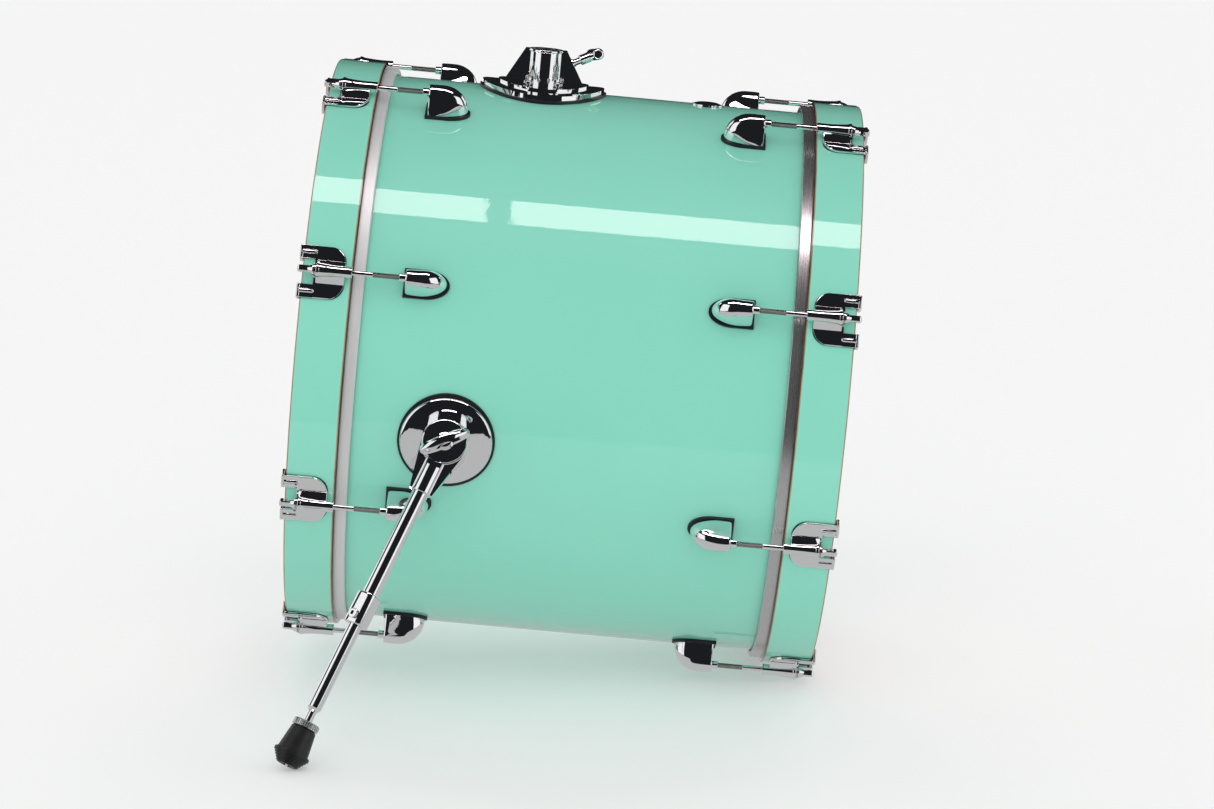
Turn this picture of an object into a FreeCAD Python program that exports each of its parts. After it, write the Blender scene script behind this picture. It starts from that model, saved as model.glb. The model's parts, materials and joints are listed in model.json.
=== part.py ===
"""A 22 x 18 inch bass drum standing in its playing position, one STEP file per sub-part.

Two frames are used.  Every piece is first made in the drum frame: X along the drum's axis with
+X at the front (resonant) head, Z up, Y across, origin at the middle of the shell.  At the end the
whole drum is tipped front-end-up and lifted, so that the rim of the batter hoop and the two spur
feet stand on the plane z = 0.  Repeated fittings are made once at the top of the shell, where Z is
the radial direction, and then turned about the drum's axis.
"""
import FreeCAD
import Part

import math
import os

from FreeCAD import Matrix, Placement, Vector

os.makedirs("parts", exist_ok=True)

# ---- driving dimensions, millimetres and degrees -------------------------------------------
SHELL_RADIUS = 279.4            # 22 inch shell
SHELL_DEPTH = 457.2             # 18 inches
SHELL_WALL = 7.5
TILT = 5.23                     # front end raised in playing position

HOOP_RADIUS = 291.2
HOOP_WALL = 8.0
HOOP_INNER_X = 218.8
HOOP_OUTER_X = 268.3
HOOP_EDGE_ROUND = 1.6

FLESH_HOOP_RADIUS = 286.4
FLESH_HOOP_BORE = 280.9
FLESH_HOOP_INNER_X = 208.0
FLESH_HOOP_WALL = 0.8

HEAD_FILM = 0.35
GAP = 0.05                      # between neighbours that touch or run in each other

ROD_RADIUS_FROM_AXIS = 301.4
FITTING_ANGLES = [22.5 + 45.0 * step for step in range(8)]
ROD_TIP_X = 158.0
ROD_SHOULDER_X = 200.0
ROD_HEAD_X = 256.3
ROD_END_X = 272.4
ROD_THREAD_R = 2.72
ROD_SHANK_R = 2.6
KEY_SQUARE = 6.3
ROD_COLLAR_R = 5.6
ROD_COLLAR_LENGTH = 6.0

LUG_FACE_X = 168.0
LUG_NOSE_X = 128.0
LUG_HALF_WIDTH = 13.2
LUG_BARREL_R = 8.3
LUG_NOSE_LENGTH = 21.0
LUG_SKIRT = 6.0
GASKET_THICKNESS = 3.0
LUG_GASKET_LIP = 2.4
LUG_GASKET_HALF_WIDTH = 14.5
LUG_WAIST_ANGLE = 35.0          # where the flanks meet the barrel, above the horizontal
LUG_SCREW_X = 138.5
LUG_SCREW_R = 2.5
LUG_SCREW_REACH = 9.0
LUG_WASHER = 1.2
LUG_WASHER_R = 8.0
SWIVEL_R = 4.0
SWIVEL_HEAD_R = 5.2
SWIVEL_HEAD_LENGTH = 3.0
SWIVEL_PROUD = 6.3
SWIVEL_START_X = 147.5
SCREW_HEAD_R = 4.6              # pan heads inside the shell
SCREW_HEAD_HEIGHT = 3.2
SCREW_SLACK = 0.3               # clearance round a screw in a plain hole

CLAW_PAD = 0.6
CLAW_PLATE = 2.6
CLAW_HALF_WIDTH = 26.0
CLAW_CORNER = 15.0
CLAW_NOSE_X = 226.5
CLAW_BARREL_X = 219.6
CLAW_SEAT_X = 254.5
CLAW_BARREL_R = 6.8
CLAW_SLOT_HALF_WIDTH = 12.6
CLAW_SLOT_START_X = CLAW_SEAT_X + 2.2
CLAW_HOOK_DEPTH = 10.5
CLAW_BORE_R = 3.2
CLAW_RIB_R = 2.0
CLAW_RIB_OFFSET = 19.3
CLAW_RIB_LENGTH = 15.2
ROD_WASHER_R = 6.1

SPUR_X = 116.0
SPUR_PLATE_ANGLE = 98.3         # from straight up, towards the side
SPUR_PLATE_RADIUS = 45.4
SPUR_PLATE_LOW = SHELL_RADIUS + 2.6
SPUR_PLATE_HIGH = SPUR_PLATE_LOW + 4.2
SPUR_GASKET_RADIUS = 47.4
SPUR_SCREW_R = 2.5
SPUR_SCREW_CIRCLE = 32.0
SPUR_HUB = Vector(116.0, 307.3, -37.3)
SPUR_AXIS_RISE = 24.6           # hub axis above the horizontal
SPUR_FORWARD_LEAN = 20.0        # leg leans towards the front from straight down
SPUR_HUB_RADIUS = 22.5
SPUR_BOSS_R = 20.5
SPUR_BOLT_R = 4.0
SPUR_BOLT_END = -26.0
SPUR_SOCKET_LOW = -8.5
SPUR_SOCKET_HIGH = 7.5
SPUR_SOCKET_R = 10.4
SPUR_WEB_HALF = 4.6
SPUR_NECK = 11.6
SPUR_BAR_ANGLE = 138.0          # wing, turned from the leg
SPUR_BAR_HALF = 25.5
SPUR_FLANGE = 3.2
SPUR_WING_HEIGHT = 14.5
SPUR_WING_FALL = 5.5            # how much lower the wing is at its ends
SPUR_COLLAR_END = 54.0
SPUR_TUBE_R = 8.1
SPUR_TUBE_BORE = 6.8
SPUR_TUBE_START = 27.0
SPUR_CLAMP_START = 164.0
SPUR_CLAMP_END = 196.5
CLAMP_HALF = 10.9
CLAMP_FRONT = 10.4
CLAMP_ROLL = 28.0
CLAMP_SCREW_AT = SPUR_CLAMP_END - 8.5
CLAMP_SCREW_R = 3.0
CLAMP_CAP_R = 4.9
CLAMP_CAP_HEIGHT = 3.0
SPUR_ROD_R = 6.75
SPUR_ROD_START = 112.0
SPUR_STUD_R = 4.0
FOOT_TOTAL = 38.0               # rubber foot, along the leg
FOOT_TREAD = 11.0
FOOT_FLANGE_R = 17.7
FOOT_END_R = 10.0
FOOT_TOP_R = 12.3
LOCK_NUT_R = 13.1
LOCK_NUT_THICKNESS = 6.4
KNURL_GROOVES = 36

TOM_X = 57.5
TOM_PLATE_RADIUS = 62.5
TOM_GASKET_RADIUS = 64.8
TOM_TUBE_R = 16.5
TOM_TUBE_BORE = 14.4
TOM_TUBE_TOP = 322.0
TOM_SHELL_HOLE_R = TOM_TUBE_BORE + 1.1
TOM_PLATE_LOW = SHELL_RADIUS + GASKET_THICKNESS
TOM_PLATE_HIGH = TOM_PLATE_LOW + 4.4
TOM_STEP = 2.2
TOM_FIN_FOOT = 41.0
TOM_FIN_TOP = 21.0
TOM_FIN_HALF = 3.0
TOM_BUSH_R = 14.35
TOM_BUSH_LOW = TOM_PLATE_LOW + 1.0
TOM_BUSH_TOP = TOM_TUBE_TOP - 1.2
TOM_BORE_R = 12.8               # takes a 25.4 mm post
TOM_SCREW_R = 2.5
TOM_SCREW_PLACES = [(TOM_X + x, y) for x in (15.0, -15.0) for y in (30.0, -30.0)]
TOM_NUT_CORNERS = 5.3
TOM_BOLT_HEIGHT = 295.4
TOM_BOLT_AZIMUTH = 200.0        # from +X, counted from above
TOM_BOLT_RISE = 24.3
TOM_BOLT_R = 3.95
TOM_BOLT_TIP = TOM_TUBE_R + 4.0
TOM_BOSS_R = 6.9
TOM_BOSS_END = 31.5
TOM_NECK_R = 3.4
TOM_BLOCK_R = 5.3
TOM_BLOCK_LENGTH = 17.0
TOM_SHOE_R = 5.6
TOM_HANDLE_R = 6.0
TOM_HANDLE_HALF = 15.0
TOM_HANDLE_AT = 58.0

VENT_X = -111.5
VENT_HOLE_R = 6.0

X_AXIS = Vector(1, 0, 0)
Y_AXIS = Vector(0, 1, 0)
Z_AXIS = Vector(0, 0, 1)
ORIGIN = Vector(0, 0, 0)
SHELL_HALF = SHELL_DEPTH / 2
SHELL_BORE = SHELL_RADIUS - SHELL_WALL
REACH = 400.0                   # longer than any fitting is wide
LUG_BASE = SHELL_RADIUS + GASKET_THICKNESS
LUG_WASHER_SAG = SHELL_BORE - math.sqrt(SHELL_BORE ** 2 - LUG_WASHER_R ** 2) + GAP / 2


# ---- shape helpers ---------------------------------------------------------------------------
def rod_along(start, direction, length, radius):
    """A cylinder from a point along a direction."""
    return Part.makeCylinder(radius, length, start, direction)


def box_between(low, high):
    """A box from its lowest to its highest corner."""
    return Part.makeBox(high[0] - low[0], high[1] - low[1], high[2] - low[2], Vector(*low))


def turned(points, axis_start, axis):
    """A solid of revolution from a closed list of (along, radius) points."""
    u, v = _cross_axes(axis)
    corners = [axis_start + axis * along + u * radius for along, radius in points]
    wire = Part.makePolygon(corners + corners[:1])
    return Part.Face(wire).revolve(axis_start, axis, 360.0)


def _cross_axes(axis):
    """Two unit vectors square to an axis."""
    other = Z_AXIS if abs(axis.z) < 0.9 else X_AXIS
    u = (other - axis * axis.dot(other)).normalize()
    return u, axis.cross(u)


def prism(points, direction):
    """An outline of points pushed along a direction."""
    return Part.Face(Part.makePolygon(points + points[:1])).extrude(direction)


def fused(first, *others):
    """One solid from overlapping ones."""
    return first.fuse(list(others)).removeSplitter()


def drum_ring(inner, outer, x_low, x_high):
    """A ring about the drum's axis."""
    return rod_along(Vector(x_low, 0, 0), X_AXIS, x_high - x_low, outer).cut(
        rod_along(Vector(x_low, 0, 0), X_AXIS, x_high - x_low, inner))


def around(shape, angle):
    """Turns a fitting made at the top of the drum down towards +Y by an angle."""
    copy = shape.copy()
    copy.rotate(ORIGIN, X_AXIS, -angle)
    return copy


def soften(shape, radius, chosen):
    """Rounds the edges that a test picks, and leaves them sharp where the kernel can't."""
    edges = [edge for edge in shape.Edges if chosen(edge)]
    try:
        rounded = shape.makeFillet(radius, edges)
        return rounded if rounded.isValid() and rounded.Volume > 0 else shape
    except Part.OCCError:
        return shape


def group(shapes):
    """Separate solids in one node."""
    return Part.makeCompound(shapes)


def both_ends(shape):
    """The front fitting, and its mirror image at the batter end."""
    return [shape, shape.mirror(ORIGIN, X_AXIS)]


def ring_of(shape):
    """The front fitting repeated at the eight places round the drum."""
    return [around(shape, angle) for angle in FITTING_ANGLES]


def curved_disc(x, radius, low, high):
    """A disc at the top of the drum that follows the shell between two radii."""
    blank = rod_along(Vector(x, 0, low - REACH / 4), Z_AXIS, high - low + REACH / 2, radius)
    skin = drum_ring(low, high, x - radius - 1, x + radius + 1)
    upper = box_between((x - REACH, -REACH, 0), (x + REACH, REACH, REACH))
    return blank.common(skin).common(upper)


# ---- shell, heads and hoops ------------------------------------------------------------------
def shell():
    """Ply shell with bearing edges, and holes for the vent, tom post, fittings and screws."""
    crest = SHELL_RADIUS - 2.9
    fall = 3.6
    profile = [(SHELL_HALF - fall, SHELL_BORE), (SHELL_HALF, crest), (SHELL_HALF, crest + 0.9),
               (SHELL_HALF - 2.0, SHELL_RADIUS)]
    mirrored = [(-x, r) for x, r in reversed(profile)]
    body = turned(profile + mirrored, ORIGIN, X_AXIS)
    holes = [rod_along(Vector(VENT_X, 0, SHELL_BORE - 5), Z_AXIS, 20, VENT_HOLE_R + GAP),
             rod_along(Vector(TOM_X, 0, SHELL_BORE - 5), Z_AXIS, 20, TOM_SHELL_HOLE_R)]
    holes += [rod_along(Vector(x, y, SHELL_BORE - 5), Z_AXIS, 20, TOM_SCREW_R + SCREW_SLACK)
              for x, y in TOM_SCREW_PLACES]
    screw_hole = rod_along(Vector(LUG_SCREW_X, 0, SHELL_BORE - 5), Z_AXIS, 20,
                           LUG_SCREW_R + SCREW_SLACK)
    for hole in both_ends(screw_hole):
        holes += ring_of(hole)
    for side in (1, -1):
        for x, angle in spur_screw_places():
            hole = rod_along(Vector(x, 0, SHELL_BORE - 5), Z_AXIS, 20, SPUR_SCREW_R + SCREW_SLACK)
            holes.append(around(hole, side * angle))
    return body.cut(holes)


def head():
    """Front drum head: film over the bearing edge, down a collar, into its resin bead."""
    face_x = SHELL_HALF + GAP
    bead_low = FLESH_HOOP_BORE + FLESH_HOOP_WALL + GAP
    bead_high = FLESH_HOOP_RADIUS - FLESH_HOOP_WALL - GAP
    bead_start = FLESH_HOOP_INNER_X + FLESH_HOOP_WALL + GAP
    bead_end = HOOP_INNER_X - 0.6
    over = SHELL_RADIUS + 0.25
    profile = [(face_x, 0), (face_x, SHELL_RADIUS - 2.0), (SHELL_HALF - 1.7, over),
               (bead_end, bead_low), (bead_start, bead_low), (bead_start, bead_high),
               (bead_end, bead_high), (bead_end, bead_low + HEAD_FILM),
               (SHELL_HALF - 1.7 + HEAD_FILM / 2, over + HEAD_FILM),
               (face_x + HEAD_FILM, SHELL_RADIUS - 2.0 + HEAD_FILM / 2), (face_x + HEAD_FILM, 0)]
    return turned(profile, ORIGIN, X_AXIS)


def flesh_hoop():
    """Aluminium channel that holds the front head, open towards the counterhoop."""
    inner_x = FLESH_HOOP_INNER_X
    outer_x = HOOP_INNER_X - GAP
    wall = FLESH_HOOP_WALL
    low, high = FLESH_HOOP_BORE, FLESH_HOOP_RADIUS
    bevel = 0.9
    profile = [(inner_x, low), (inner_x, high - bevel), (inner_x + bevel, high), (outer_x, high),
               (outer_x, high - wall), (inner_x + wall, high - wall), (inner_x + wall, low + wall),
               (outer_x - 0.7, low + wall), (outer_x - 0.7, low)]
    return turned(profile, ORIGIN, X_AXIS)


def counterhoop():
    """Front wooden hoop with eased edges."""
    ring = drum_ring(HOOP_RADIUS - HOOP_WALL, HOOP_RADIUS, HOOP_INNER_X, HOOP_OUTER_X)
    return soften(ring, HOOP_EDGE_ROUND, lambda edge: edge.Length > SHELL_RADIUS
                  and edge.BoundBox.XLength < 1)


# ---- tension fittings ------------------------------------------------------------------------
def lug_plan(face_x, nose_x, half_width, nose_length, z_low, z_high):
    """Upright prism with a flat outer end, straight sides and an elliptical nose."""
    shoulder_x = nose_x + nose_length
    corner_a = Vector(shoulder_x, half_width, z_low)
    corner_b = Vector(face_x, half_width, z_low)
    corner_c = Vector(face_x, -half_width, z_low)
    corner_d = Vector(shoulder_x, -half_width, z_low)
    if nose_length > half_width:
        nose = Part.Ellipse(Vector(nose_x, 0, z_low), Vector(shoulder_x, half_width, z_low),
                            Vector(shoulder_x, 0, z_low))
    else:
        nose = Part.Ellipse(Vector(shoulder_x, half_width, z_low), Vector(nose_x, 0, z_low),
                            Vector(shoulder_x, 0, z_low))
    start, end = nose.parameter(corner_a), nose.parameter(corner_d)
    if end < start:
        end += 2 * math.pi
    arc = Part.ArcOfEllipse(nose, start, end)
    middle = arc.value((arc.FirstParameter + arc.LastParameter) / 2)
    if middle.x > shoulder_x:
        arc = Part.ArcOfEllipse(nose, end, start + 2 * math.pi)
    edges = [arc.toShape(), Part.LineSegment(corner_d, corner_c).toShape(),
             Part.LineSegment(corner_c, corner_b).toShape(),
             Part.LineSegment(corner_b, corner_a).toShape()]
    wire = Part.Wire(Part.__sortEdges__(edges))
    return Part.Face(wire).extrude(Vector(0, 0, z_high - z_low))


def lug():
    """Bullet-shaped die-cast lug with a raised barrel for the swivel nut."""
    top = ROD_RADIUS_FROM_AXIS + LUG_BARREL_R
    plan = lug_plan(LUG_FACE_X, LUG_NOSE_X, LUG_HALF_WIDTH, LUG_NOSE_LENGTH, LUG_BASE, top + 1)
    height = top - LUG_BASE
    shoulder_x = LUG_NOSE_X + LUG_NOSE_LENGTH
    back = Part.Ellipse(Vector(shoulder_x, 0, top), Vector(LUG_NOSE_X, 0, LUG_BASE),
                        Vector(shoulder_x, 0, LUG_BASE))
    quarter = Part.Arc(back, 0, math.pi / 2)
    side_edges = [quarter.toShape(),
                  Part.LineSegment(quarter.StartPoint, Vector(LUG_FACE_X, 0, top)).toShape(),
                  Part.LineSegment(Vector(LUG_FACE_X, 0, top),
                                   Vector(LUG_FACE_X, 0, LUG_BASE)).toShape(),
                  Part.LineSegment(Vector(LUG_FACE_X, 0, LUG_BASE), quarter.EndPoint).toShape()]
    side = Part.Face(Part.Wire(Part.__sortEdges__(side_edges)))
    side.translate(Vector(0, -REACH / 4, 0))
    profile = side.extrude(Vector(0, REACH / 2, 0))
    flank = math.radians(LUG_WAIST_ANGLE)
    waist = LUG_BARREL_R * math.cos(flank)
    waist_z = ROD_RADIUS_FROM_AXIS + LUG_BARREL_R * math.sin(flank) - height * 0.16
    start_x = LUG_NOSE_X - 5
    wedge = prism([Vector(start_x, y, z) for y, z in (
        (-LUG_HALF_WIDTH, LUG_BASE), (LUG_HALF_WIDTH, LUG_BASE),
        (LUG_HALF_WIDTH, LUG_BASE + LUG_SKIRT), (waist, waist_z), (-waist, waist_z),
        (-LUG_HALF_WIDTH, LUG_BASE + LUG_SKIRT))], Vector(LUG_FACE_X - start_x, 0, 0))
    barrel = rod_along(Vector(start_x, 0, ROD_RADIUS_FROM_AXIS), X_AXIS, LUG_FACE_X - start_x,
                       LUG_BARREL_R)
    body = fused(wedge, barrel).common(plan).common(profile)
    nut_bore = rod_along(Vector(SWIVEL_START_X, 0, ROD_RADIUS_FROM_AXIS), X_AXIS, REACH / 10,
                         SWIVEL_R + GAP)
    pocket = rod_along(Vector(SWIVEL_START_X - GAP, 0, ROD_RADIUS_FROM_AXIS), X_AXIS,
                       SWIVEL_HEAD_LENGTH + 2 * GAP, SWIVEL_HEAD_R + GAP)
    screw_bore = rod_along(Vector(LUG_SCREW_X, 0, LUG_BASE - 1), Z_AXIS, LUG_SCREW_REACH + 2,
                           LUG_SCREW_R + GAP)
    return body.cut([nut_bore, pocket, screw_bore])


def lug_gasket():
    """Rubber gasket between a lug and the shell."""
    nose_x = LUG_NOSE_X - LUG_GASKET_LIP
    pad = lug_plan(LUG_FACE_X + LUG_GASKET_LIP, nose_x, LUG_GASKET_HALF_WIDTH,
                   LUG_NOSE_LENGTH + LUG_GASKET_LIP, SHELL_RADIUS - 2, LUG_BASE)
    drum = rod_along(Vector(0, 0, 0), X_AXIS, SHELL_HALF, SHELL_RADIUS)
    hole = rod_along(Vector(LUG_SCREW_X, 0, SHELL_RADIUS - 3), Z_AXIS, 10,
                     LUG_SCREW_R + SCREW_SLACK)
    return pad.cut([drum, hole])


def swivel_nut():
    """Nut that sits loose in a lug and shows a short collar at its outer end."""
    centre = Vector(SWIVEL_START_X, 0, ROD_RADIUS_FROM_AXIS)
    stem = rod_along(centre, X_AXIS, LUG_FACE_X + SWIVEL_PROUD - SWIVEL_START_X, SWIVEL_R)
    stem = soften(stem, 0.6, lambda edge: edge.BoundBox.XMin > LUG_FACE_X + 1)
    flange = rod_along(centre, X_AXIS, SWIVEL_HEAD_LENGTH, SWIVEL_HEAD_R)
    bore = rod_along(centre - X_AXIS, X_AXIS, REACH / 10, ROD_THREAD_R + GAP)
    return fused(stem, flange).cut(bore)


def with_pan_head(shank, seat):
    """A screw shank with a slotted pan head below a seat point."""
    pan = rod_along(seat - Z_AXIS * SCREW_HEAD_HEIGHT, Z_AXIS, SCREW_HEAD_HEIGHT, SCREW_HEAD_R)
    pan = soften(pan, 1.4, lambda edge: edge.BoundBox.ZMax < seat.z - SCREW_HEAD_HEIGHT + 0.2)
    slot = box_between((seat.x - 6, -0.6, seat.z - 4), (seat.x + 6, 0.6, seat.z - 1.9))
    return fused(shank, pan).cut(slot)


def lug_screw():
    """Pan-head screw driven from inside the shell into a lug."""
    seat = SHELL_BORE - LUG_WASHER_SAG - LUG_WASHER
    centre = Vector(LUG_SCREW_X, 0, seat)
    shank = rod_along(centre, Z_AXIS, LUG_BASE + LUG_SCREW_REACH - seat, LUG_SCREW_R)
    return with_pan_head(shank, centre)


def lug_washer():
    """Flat washer under a lug screw's head, inside the shell."""
    base = Vector(LUG_SCREW_X, 0, SHELL_BORE - LUG_WASHER_SAG - LUG_WASHER)
    disc = rod_along(base, Z_AXIS, LUG_WASHER, LUG_WASHER_R)
    return disc.cut(rod_along(base - Z_AXIS, Z_AXIS, 4, LUG_SCREW_R + SCREW_SLACK))


def claw():
    """Die-cast claw hook: two ears over the hoop's edge and a barrel for the tension rod."""
    under = HOOP_RADIUS + CLAW_PAD
    outer = under + CLAW_PLATE
    lip_x = HOOP_OUTER_X + CLAW_PAD + CLAW_PLATE
    plate = claw_plan(lip_x, REACH).common(drum_ring(under, outer, CLAW_NOSE_X - 1, lip_x))
    hook_ring = drum_ring(HOOP_RADIUS - CLAW_HOOK_DEPTH, outer, HOOP_OUTER_X + CLAW_PAD, lip_x)
    hook = hook_ring.common(claw_plan(lip_x, REACH))
    slot = box_between((CLAW_SLOT_START_X, -CLAW_SLOT_HALF_WIDTH, under - 15),
                       (lip_x + 1, CLAW_SLOT_HALF_WIDTH, outer + 3))
    body = fused(plate, hook).cut(slot)
    platform = prism([Vector(CLAW_SEAT_X, y, z) for y, z in (
        (-12.0, under + 1), (12.0, under + 1), (12.0, outer + 1.8), (6.4, outer + 4.2),
        (-6.4, outer + 4.2), (-12.0, outer + 1.8))], Vector(CLAW_NOSE_X + 1 - CLAW_SEAT_X, 0, 0))
    core = rod_along(Vector(CLAW_BARREL_X, 0, ROD_RADIUS_FROM_AXIS), X_AXIS,
                     CLAW_SEAT_X - CLAW_BARREL_X, CLAW_BARREL_R)
    core = soften(core, 0.8, lambda edge: edge.BoundBox.XLength < 0.1)
    web = box_between((CLAW_BARREL_X + 1, -4.6, under + 1.2),
                      (CLAW_SEAT_X, 4.6, ROD_RADIUS_FROM_AXIS))
    ribs = [rod_along(Vector(lip_x - CLAW_RIB_LENGTH - 0.8, side * CLAW_RIB_OFFSET, outer - 0.9),
                      X_AXIS, CLAW_RIB_LENGTH, CLAW_RIB_R) for side in (1, -1)]
    bore = rod_along(Vector(CLAW_BARREL_X - 1, 0, ROD_RADIUS_FROM_AXIS), X_AXIS, REACH / 4,
                     CLAW_BORE_R)
    return fused(body, platform, core, web, *ribs).cut(bore)


def claw_plan(outer_x, height):
    """Upright prism of a claw's outline: square outer end, two round inner corners."""
    low = Vector(CLAW_NOSE_X, -CLAW_HALF_WIDTH, 0)
    slab = Part.makeBox(outer_x - CLAW_NOSE_X, 2 * CLAW_HALF_WIDTH, height, low)
    return soften(slab, CLAW_CORNER, lambda edge: edge.BoundBox.ZLength > height / 2
                  and edge.BoundBox.XMax < CLAW_NOSE_X + 1)


def claw_pad():
    """Thin liner that keeps a claw off the hoop's finish, on top and over the edge."""
    end_x = HOOP_OUTER_X + CLAW_PAD - GAP
    skin = drum_ring(HOOP_RADIUS + GAP, HOOP_RADIUS + CLAW_PAD - GAP, CLAW_NOSE_X, end_x)
    lip = drum_ring(HOOP_RADIUS - CLAW_HOOK_DEPTH, HOOP_RADIUS + CLAW_PAD - GAP,
                    HOOP_OUTER_X + GAP, end_x)
    inset = claw_plan(end_x, REACH)
    slot = box_between((CLAW_SLOT_START_X, -CLAW_SLOT_HALF_WIDTH, 0),
                       (end_x + 1, CLAW_SLOT_HALF_WIDTH, REACH))
    return fused(skin, lip).common(inset).cut(slot)


def rod_washer():
    """Steel washer between a claw and the collar of its tension rod."""
    start = Vector(CLAW_SEAT_X + GAP, 0, ROD_RADIUS_FROM_AXIS)
    thickness = ROD_HEAD_X - CLAW_SEAT_X - 3 * GAP
    return rod_along(start, X_AXIS, thickness, ROD_WASHER_R).cut(
        rod_along(start - X_AXIS, X_AXIS, 5, ROD_SHANK_R + SCREW_SLACK))


def tension_rod():
    """Key rod: threaded end, plain shank, tapered collar and square key head."""
    collar_end = ROD_HEAD_X + ROD_COLLAR_LENGTH
    axis_start = Vector(0, 0, ROD_RADIUS_FROM_AXIS)
    shaft = turned([(ROD_TIP_X, 0), (ROD_TIP_X, 2.0), (ROD_TIP_X + 0.8, ROD_THREAD_R),
                    (ROD_SHOULDER_X, ROD_THREAD_R), (ROD_SHOULDER_X + 0.4, ROD_SHANK_R),
                    (ROD_HEAD_X, ROD_SHANK_R), (ROD_HEAD_X, ROD_COLLAR_R),
                    (ROD_HEAD_X + 1.6, ROD_COLLAR_R), (collar_end, 3.4), (collar_end, 0)],
                   axis_start, X_AXIS)
    half = KEY_SQUARE / 2
    square = box_between((collar_end - 3, -half, ROD_RADIUS_FROM_AXIS - half),
                         (ROD_END_X, half, ROD_RADIUS_FROM_AXIS + half))
    envelope = turned([(collar_end - 3, 0), (collar_end - 3, 4.2), (ROD_END_X - 2.2, 4.2),
                       (ROD_END_X, 2.0), (ROD_END_X, 0)], axis_start, X_AXIS)
    return fused(shaft, square.common(envelope))


# ---- vent ------------------------------------------------------------------------------------
def vent_grommet():
    """Plain round air-vent grommet, flanged on both sides of the shell."""
    outer = SHELL_RADIUS + 0.1
    start = Vector(VENT_X, 0, 0)
    flange_r = 15.5
    sleeve = turned([(SHELL_BORE - 1.6, 4.6), (SHELL_BORE - 1.6, 8.6), (SHELL_BORE - 0.25, 8.6),
                     (SHELL_BORE - 0.25, VENT_HOLE_R), (outer + 0.5, VENT_HOLE_R),
                     (outer + 0.5, flange_r - 0.6), (outer + 1.4, flange_r - 0.6),
                     (outer + 3.0, flange_r - 5.0), (outer + 3.2, 6.0), (outer + 2.2, 4.6)],
                    start, Z_AXIS)
    rim = curved_disc(VENT_X, flange_r, SHELL_RADIUS + GAP, outer + 1.2)
    rim = rim.cut(rod_along(start, Z_AXIS, REACH, VENT_HOLE_R - 0.5))
    return fused(sleeve, rim)


# ---- tom holder receiver ---------------------------------------------------------------------
def tom_bolt_axis():
    """Start point on the tube's axis and outward direction of the clamp bolt."""
    turn = math.radians(TOM_BOLT_AZIMUTH)
    rise = math.radians(TOM_BOLT_RISE)
    direction = Vector(math.cos(turn) * math.cos(rise), math.sin(turn) * math.cos(rise),
                       math.sin(rise))
    return Vector(TOM_X, 0, TOM_BOLT_HEIGHT), direction


def tom_gasket():
    """Rubber gasket under the tom receiver."""
    pad = curved_disc(TOM_X, TOM_GASKET_RADIUS, SHELL_RADIUS, TOM_PLATE_LOW)
    holes = [rod_along(Vector(x, y, SHELL_BORE), Z_AXIS, 30, TOM_SCREW_R + SCREW_SLACK)
             for x, y in TOM_SCREW_PLACES]
    holes.append(rod_along(Vector(TOM_X, 0, SHELL_BORE), Z_AXIS, 30, TOM_SHELL_HOLE_R))
    return pad.cut(holes)


def tom_base():
    """Receiver casting: saddle plate, stepped middle, upright tube with two fins and a boss."""
    plate = curved_disc(TOM_X, TOM_PLATE_RADIUS, TOM_PLATE_LOW, TOM_PLATE_HIGH)
    plate = soften(plate, 2.0,
                   lambda edge: on_rim(edge, TOM_X, TOM_PLATE_RADIUS, TOM_PLATE_HIGH))
    step = curved_disc(TOM_X, TOM_PLATE_RADIUS * 0.74, TOM_PLATE_HIGH - 1,
                       TOM_PLATE_HIGH + TOM_STEP)
    tube = rod_along(Vector(TOM_X, 0, TOM_PLATE_LOW + 1), Z_AXIS,
                     TOM_TUBE_TOP - TOM_PLATE_LOW - 1, TOM_TUBE_R)
    rim = rod_along(Vector(TOM_X, 0, TOM_TUBE_TOP - 3), Z_AXIS, 3, TOM_TUBE_R + 1.4)
    rim = soften(rim, 1.0, lambda edge: edge.BoundBox.ZLength < 0.1)
    fin = prism([Vector(TOM_X + x, -TOM_FIN_HALF, z) for x, z in (
        (-TOM_FIN_FOOT, TOM_PLATE_HIGH), (TOM_FIN_FOOT, TOM_PLATE_HIGH),
        (TOM_FIN_TOP, TOM_TUBE_TOP), (-TOM_FIN_TOP, TOM_TUBE_TOP))],
        Vector(0, 2 * TOM_FIN_HALF, 0))
    start, direction = tom_bolt_axis()
    boss = rod_along(start + direction * 4, direction, TOM_BOSS_END - 4, TOM_BOSS_R)
    body = fused(plate, step, tube, rim, fin, boss)
    cuts = [rod_along(Vector(TOM_X, 0, SHELL_BORE), Z_AXIS, REACH, TOM_TUBE_BORE),
            rod_along(start, direction, TOM_BOSS_END + 2, TOM_BOLT_R + GAP),
            rod_along(start, direction, TOM_BOLT_TIP + 0.2, TOM_SHOE_R + GAP)]
    cuts += [rod_along(Vector(x, y, SHELL_BORE), Z_AXIS, REACH / 4, TOM_SCREW_R + SCREW_SLACK)
             for x, y in TOM_SCREW_PLACES]
    return body.cut(cuts)


def on_rim(edge, x, radius, height):
    """Whether an edge runs round a curved disc's upper rim."""
    point = edge.valueAt((edge.FirstParameter + edge.LastParameter) / 2)
    off_rim = abs(math.hypot(point.x - x, point.y) - radius)
    return off_rim < 0.3 and abs(math.hypot(point.y, point.z) - height) < 0.3


def tom_bushing():
    """Nylon sleeve inside the receiver tube, with a window for the clamp shoe."""
    start, direction = tom_bolt_axis()
    low = Vector(TOM_X, 0, TOM_BUSH_LOW)
    sleeve = rod_along(low, Z_AXIS, TOM_BUSH_TOP - TOM_BUSH_LOW, TOM_BUSH_R)
    bore = rod_along(low - Z_AXIS, Z_AXIS, REACH / 4, TOM_BORE_R)
    window = rod_along(start, direction, TOM_BOLT_TIP, TOM_SHOE_R + 0.4)
    return sleeve.cut([bore, window])


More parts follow.
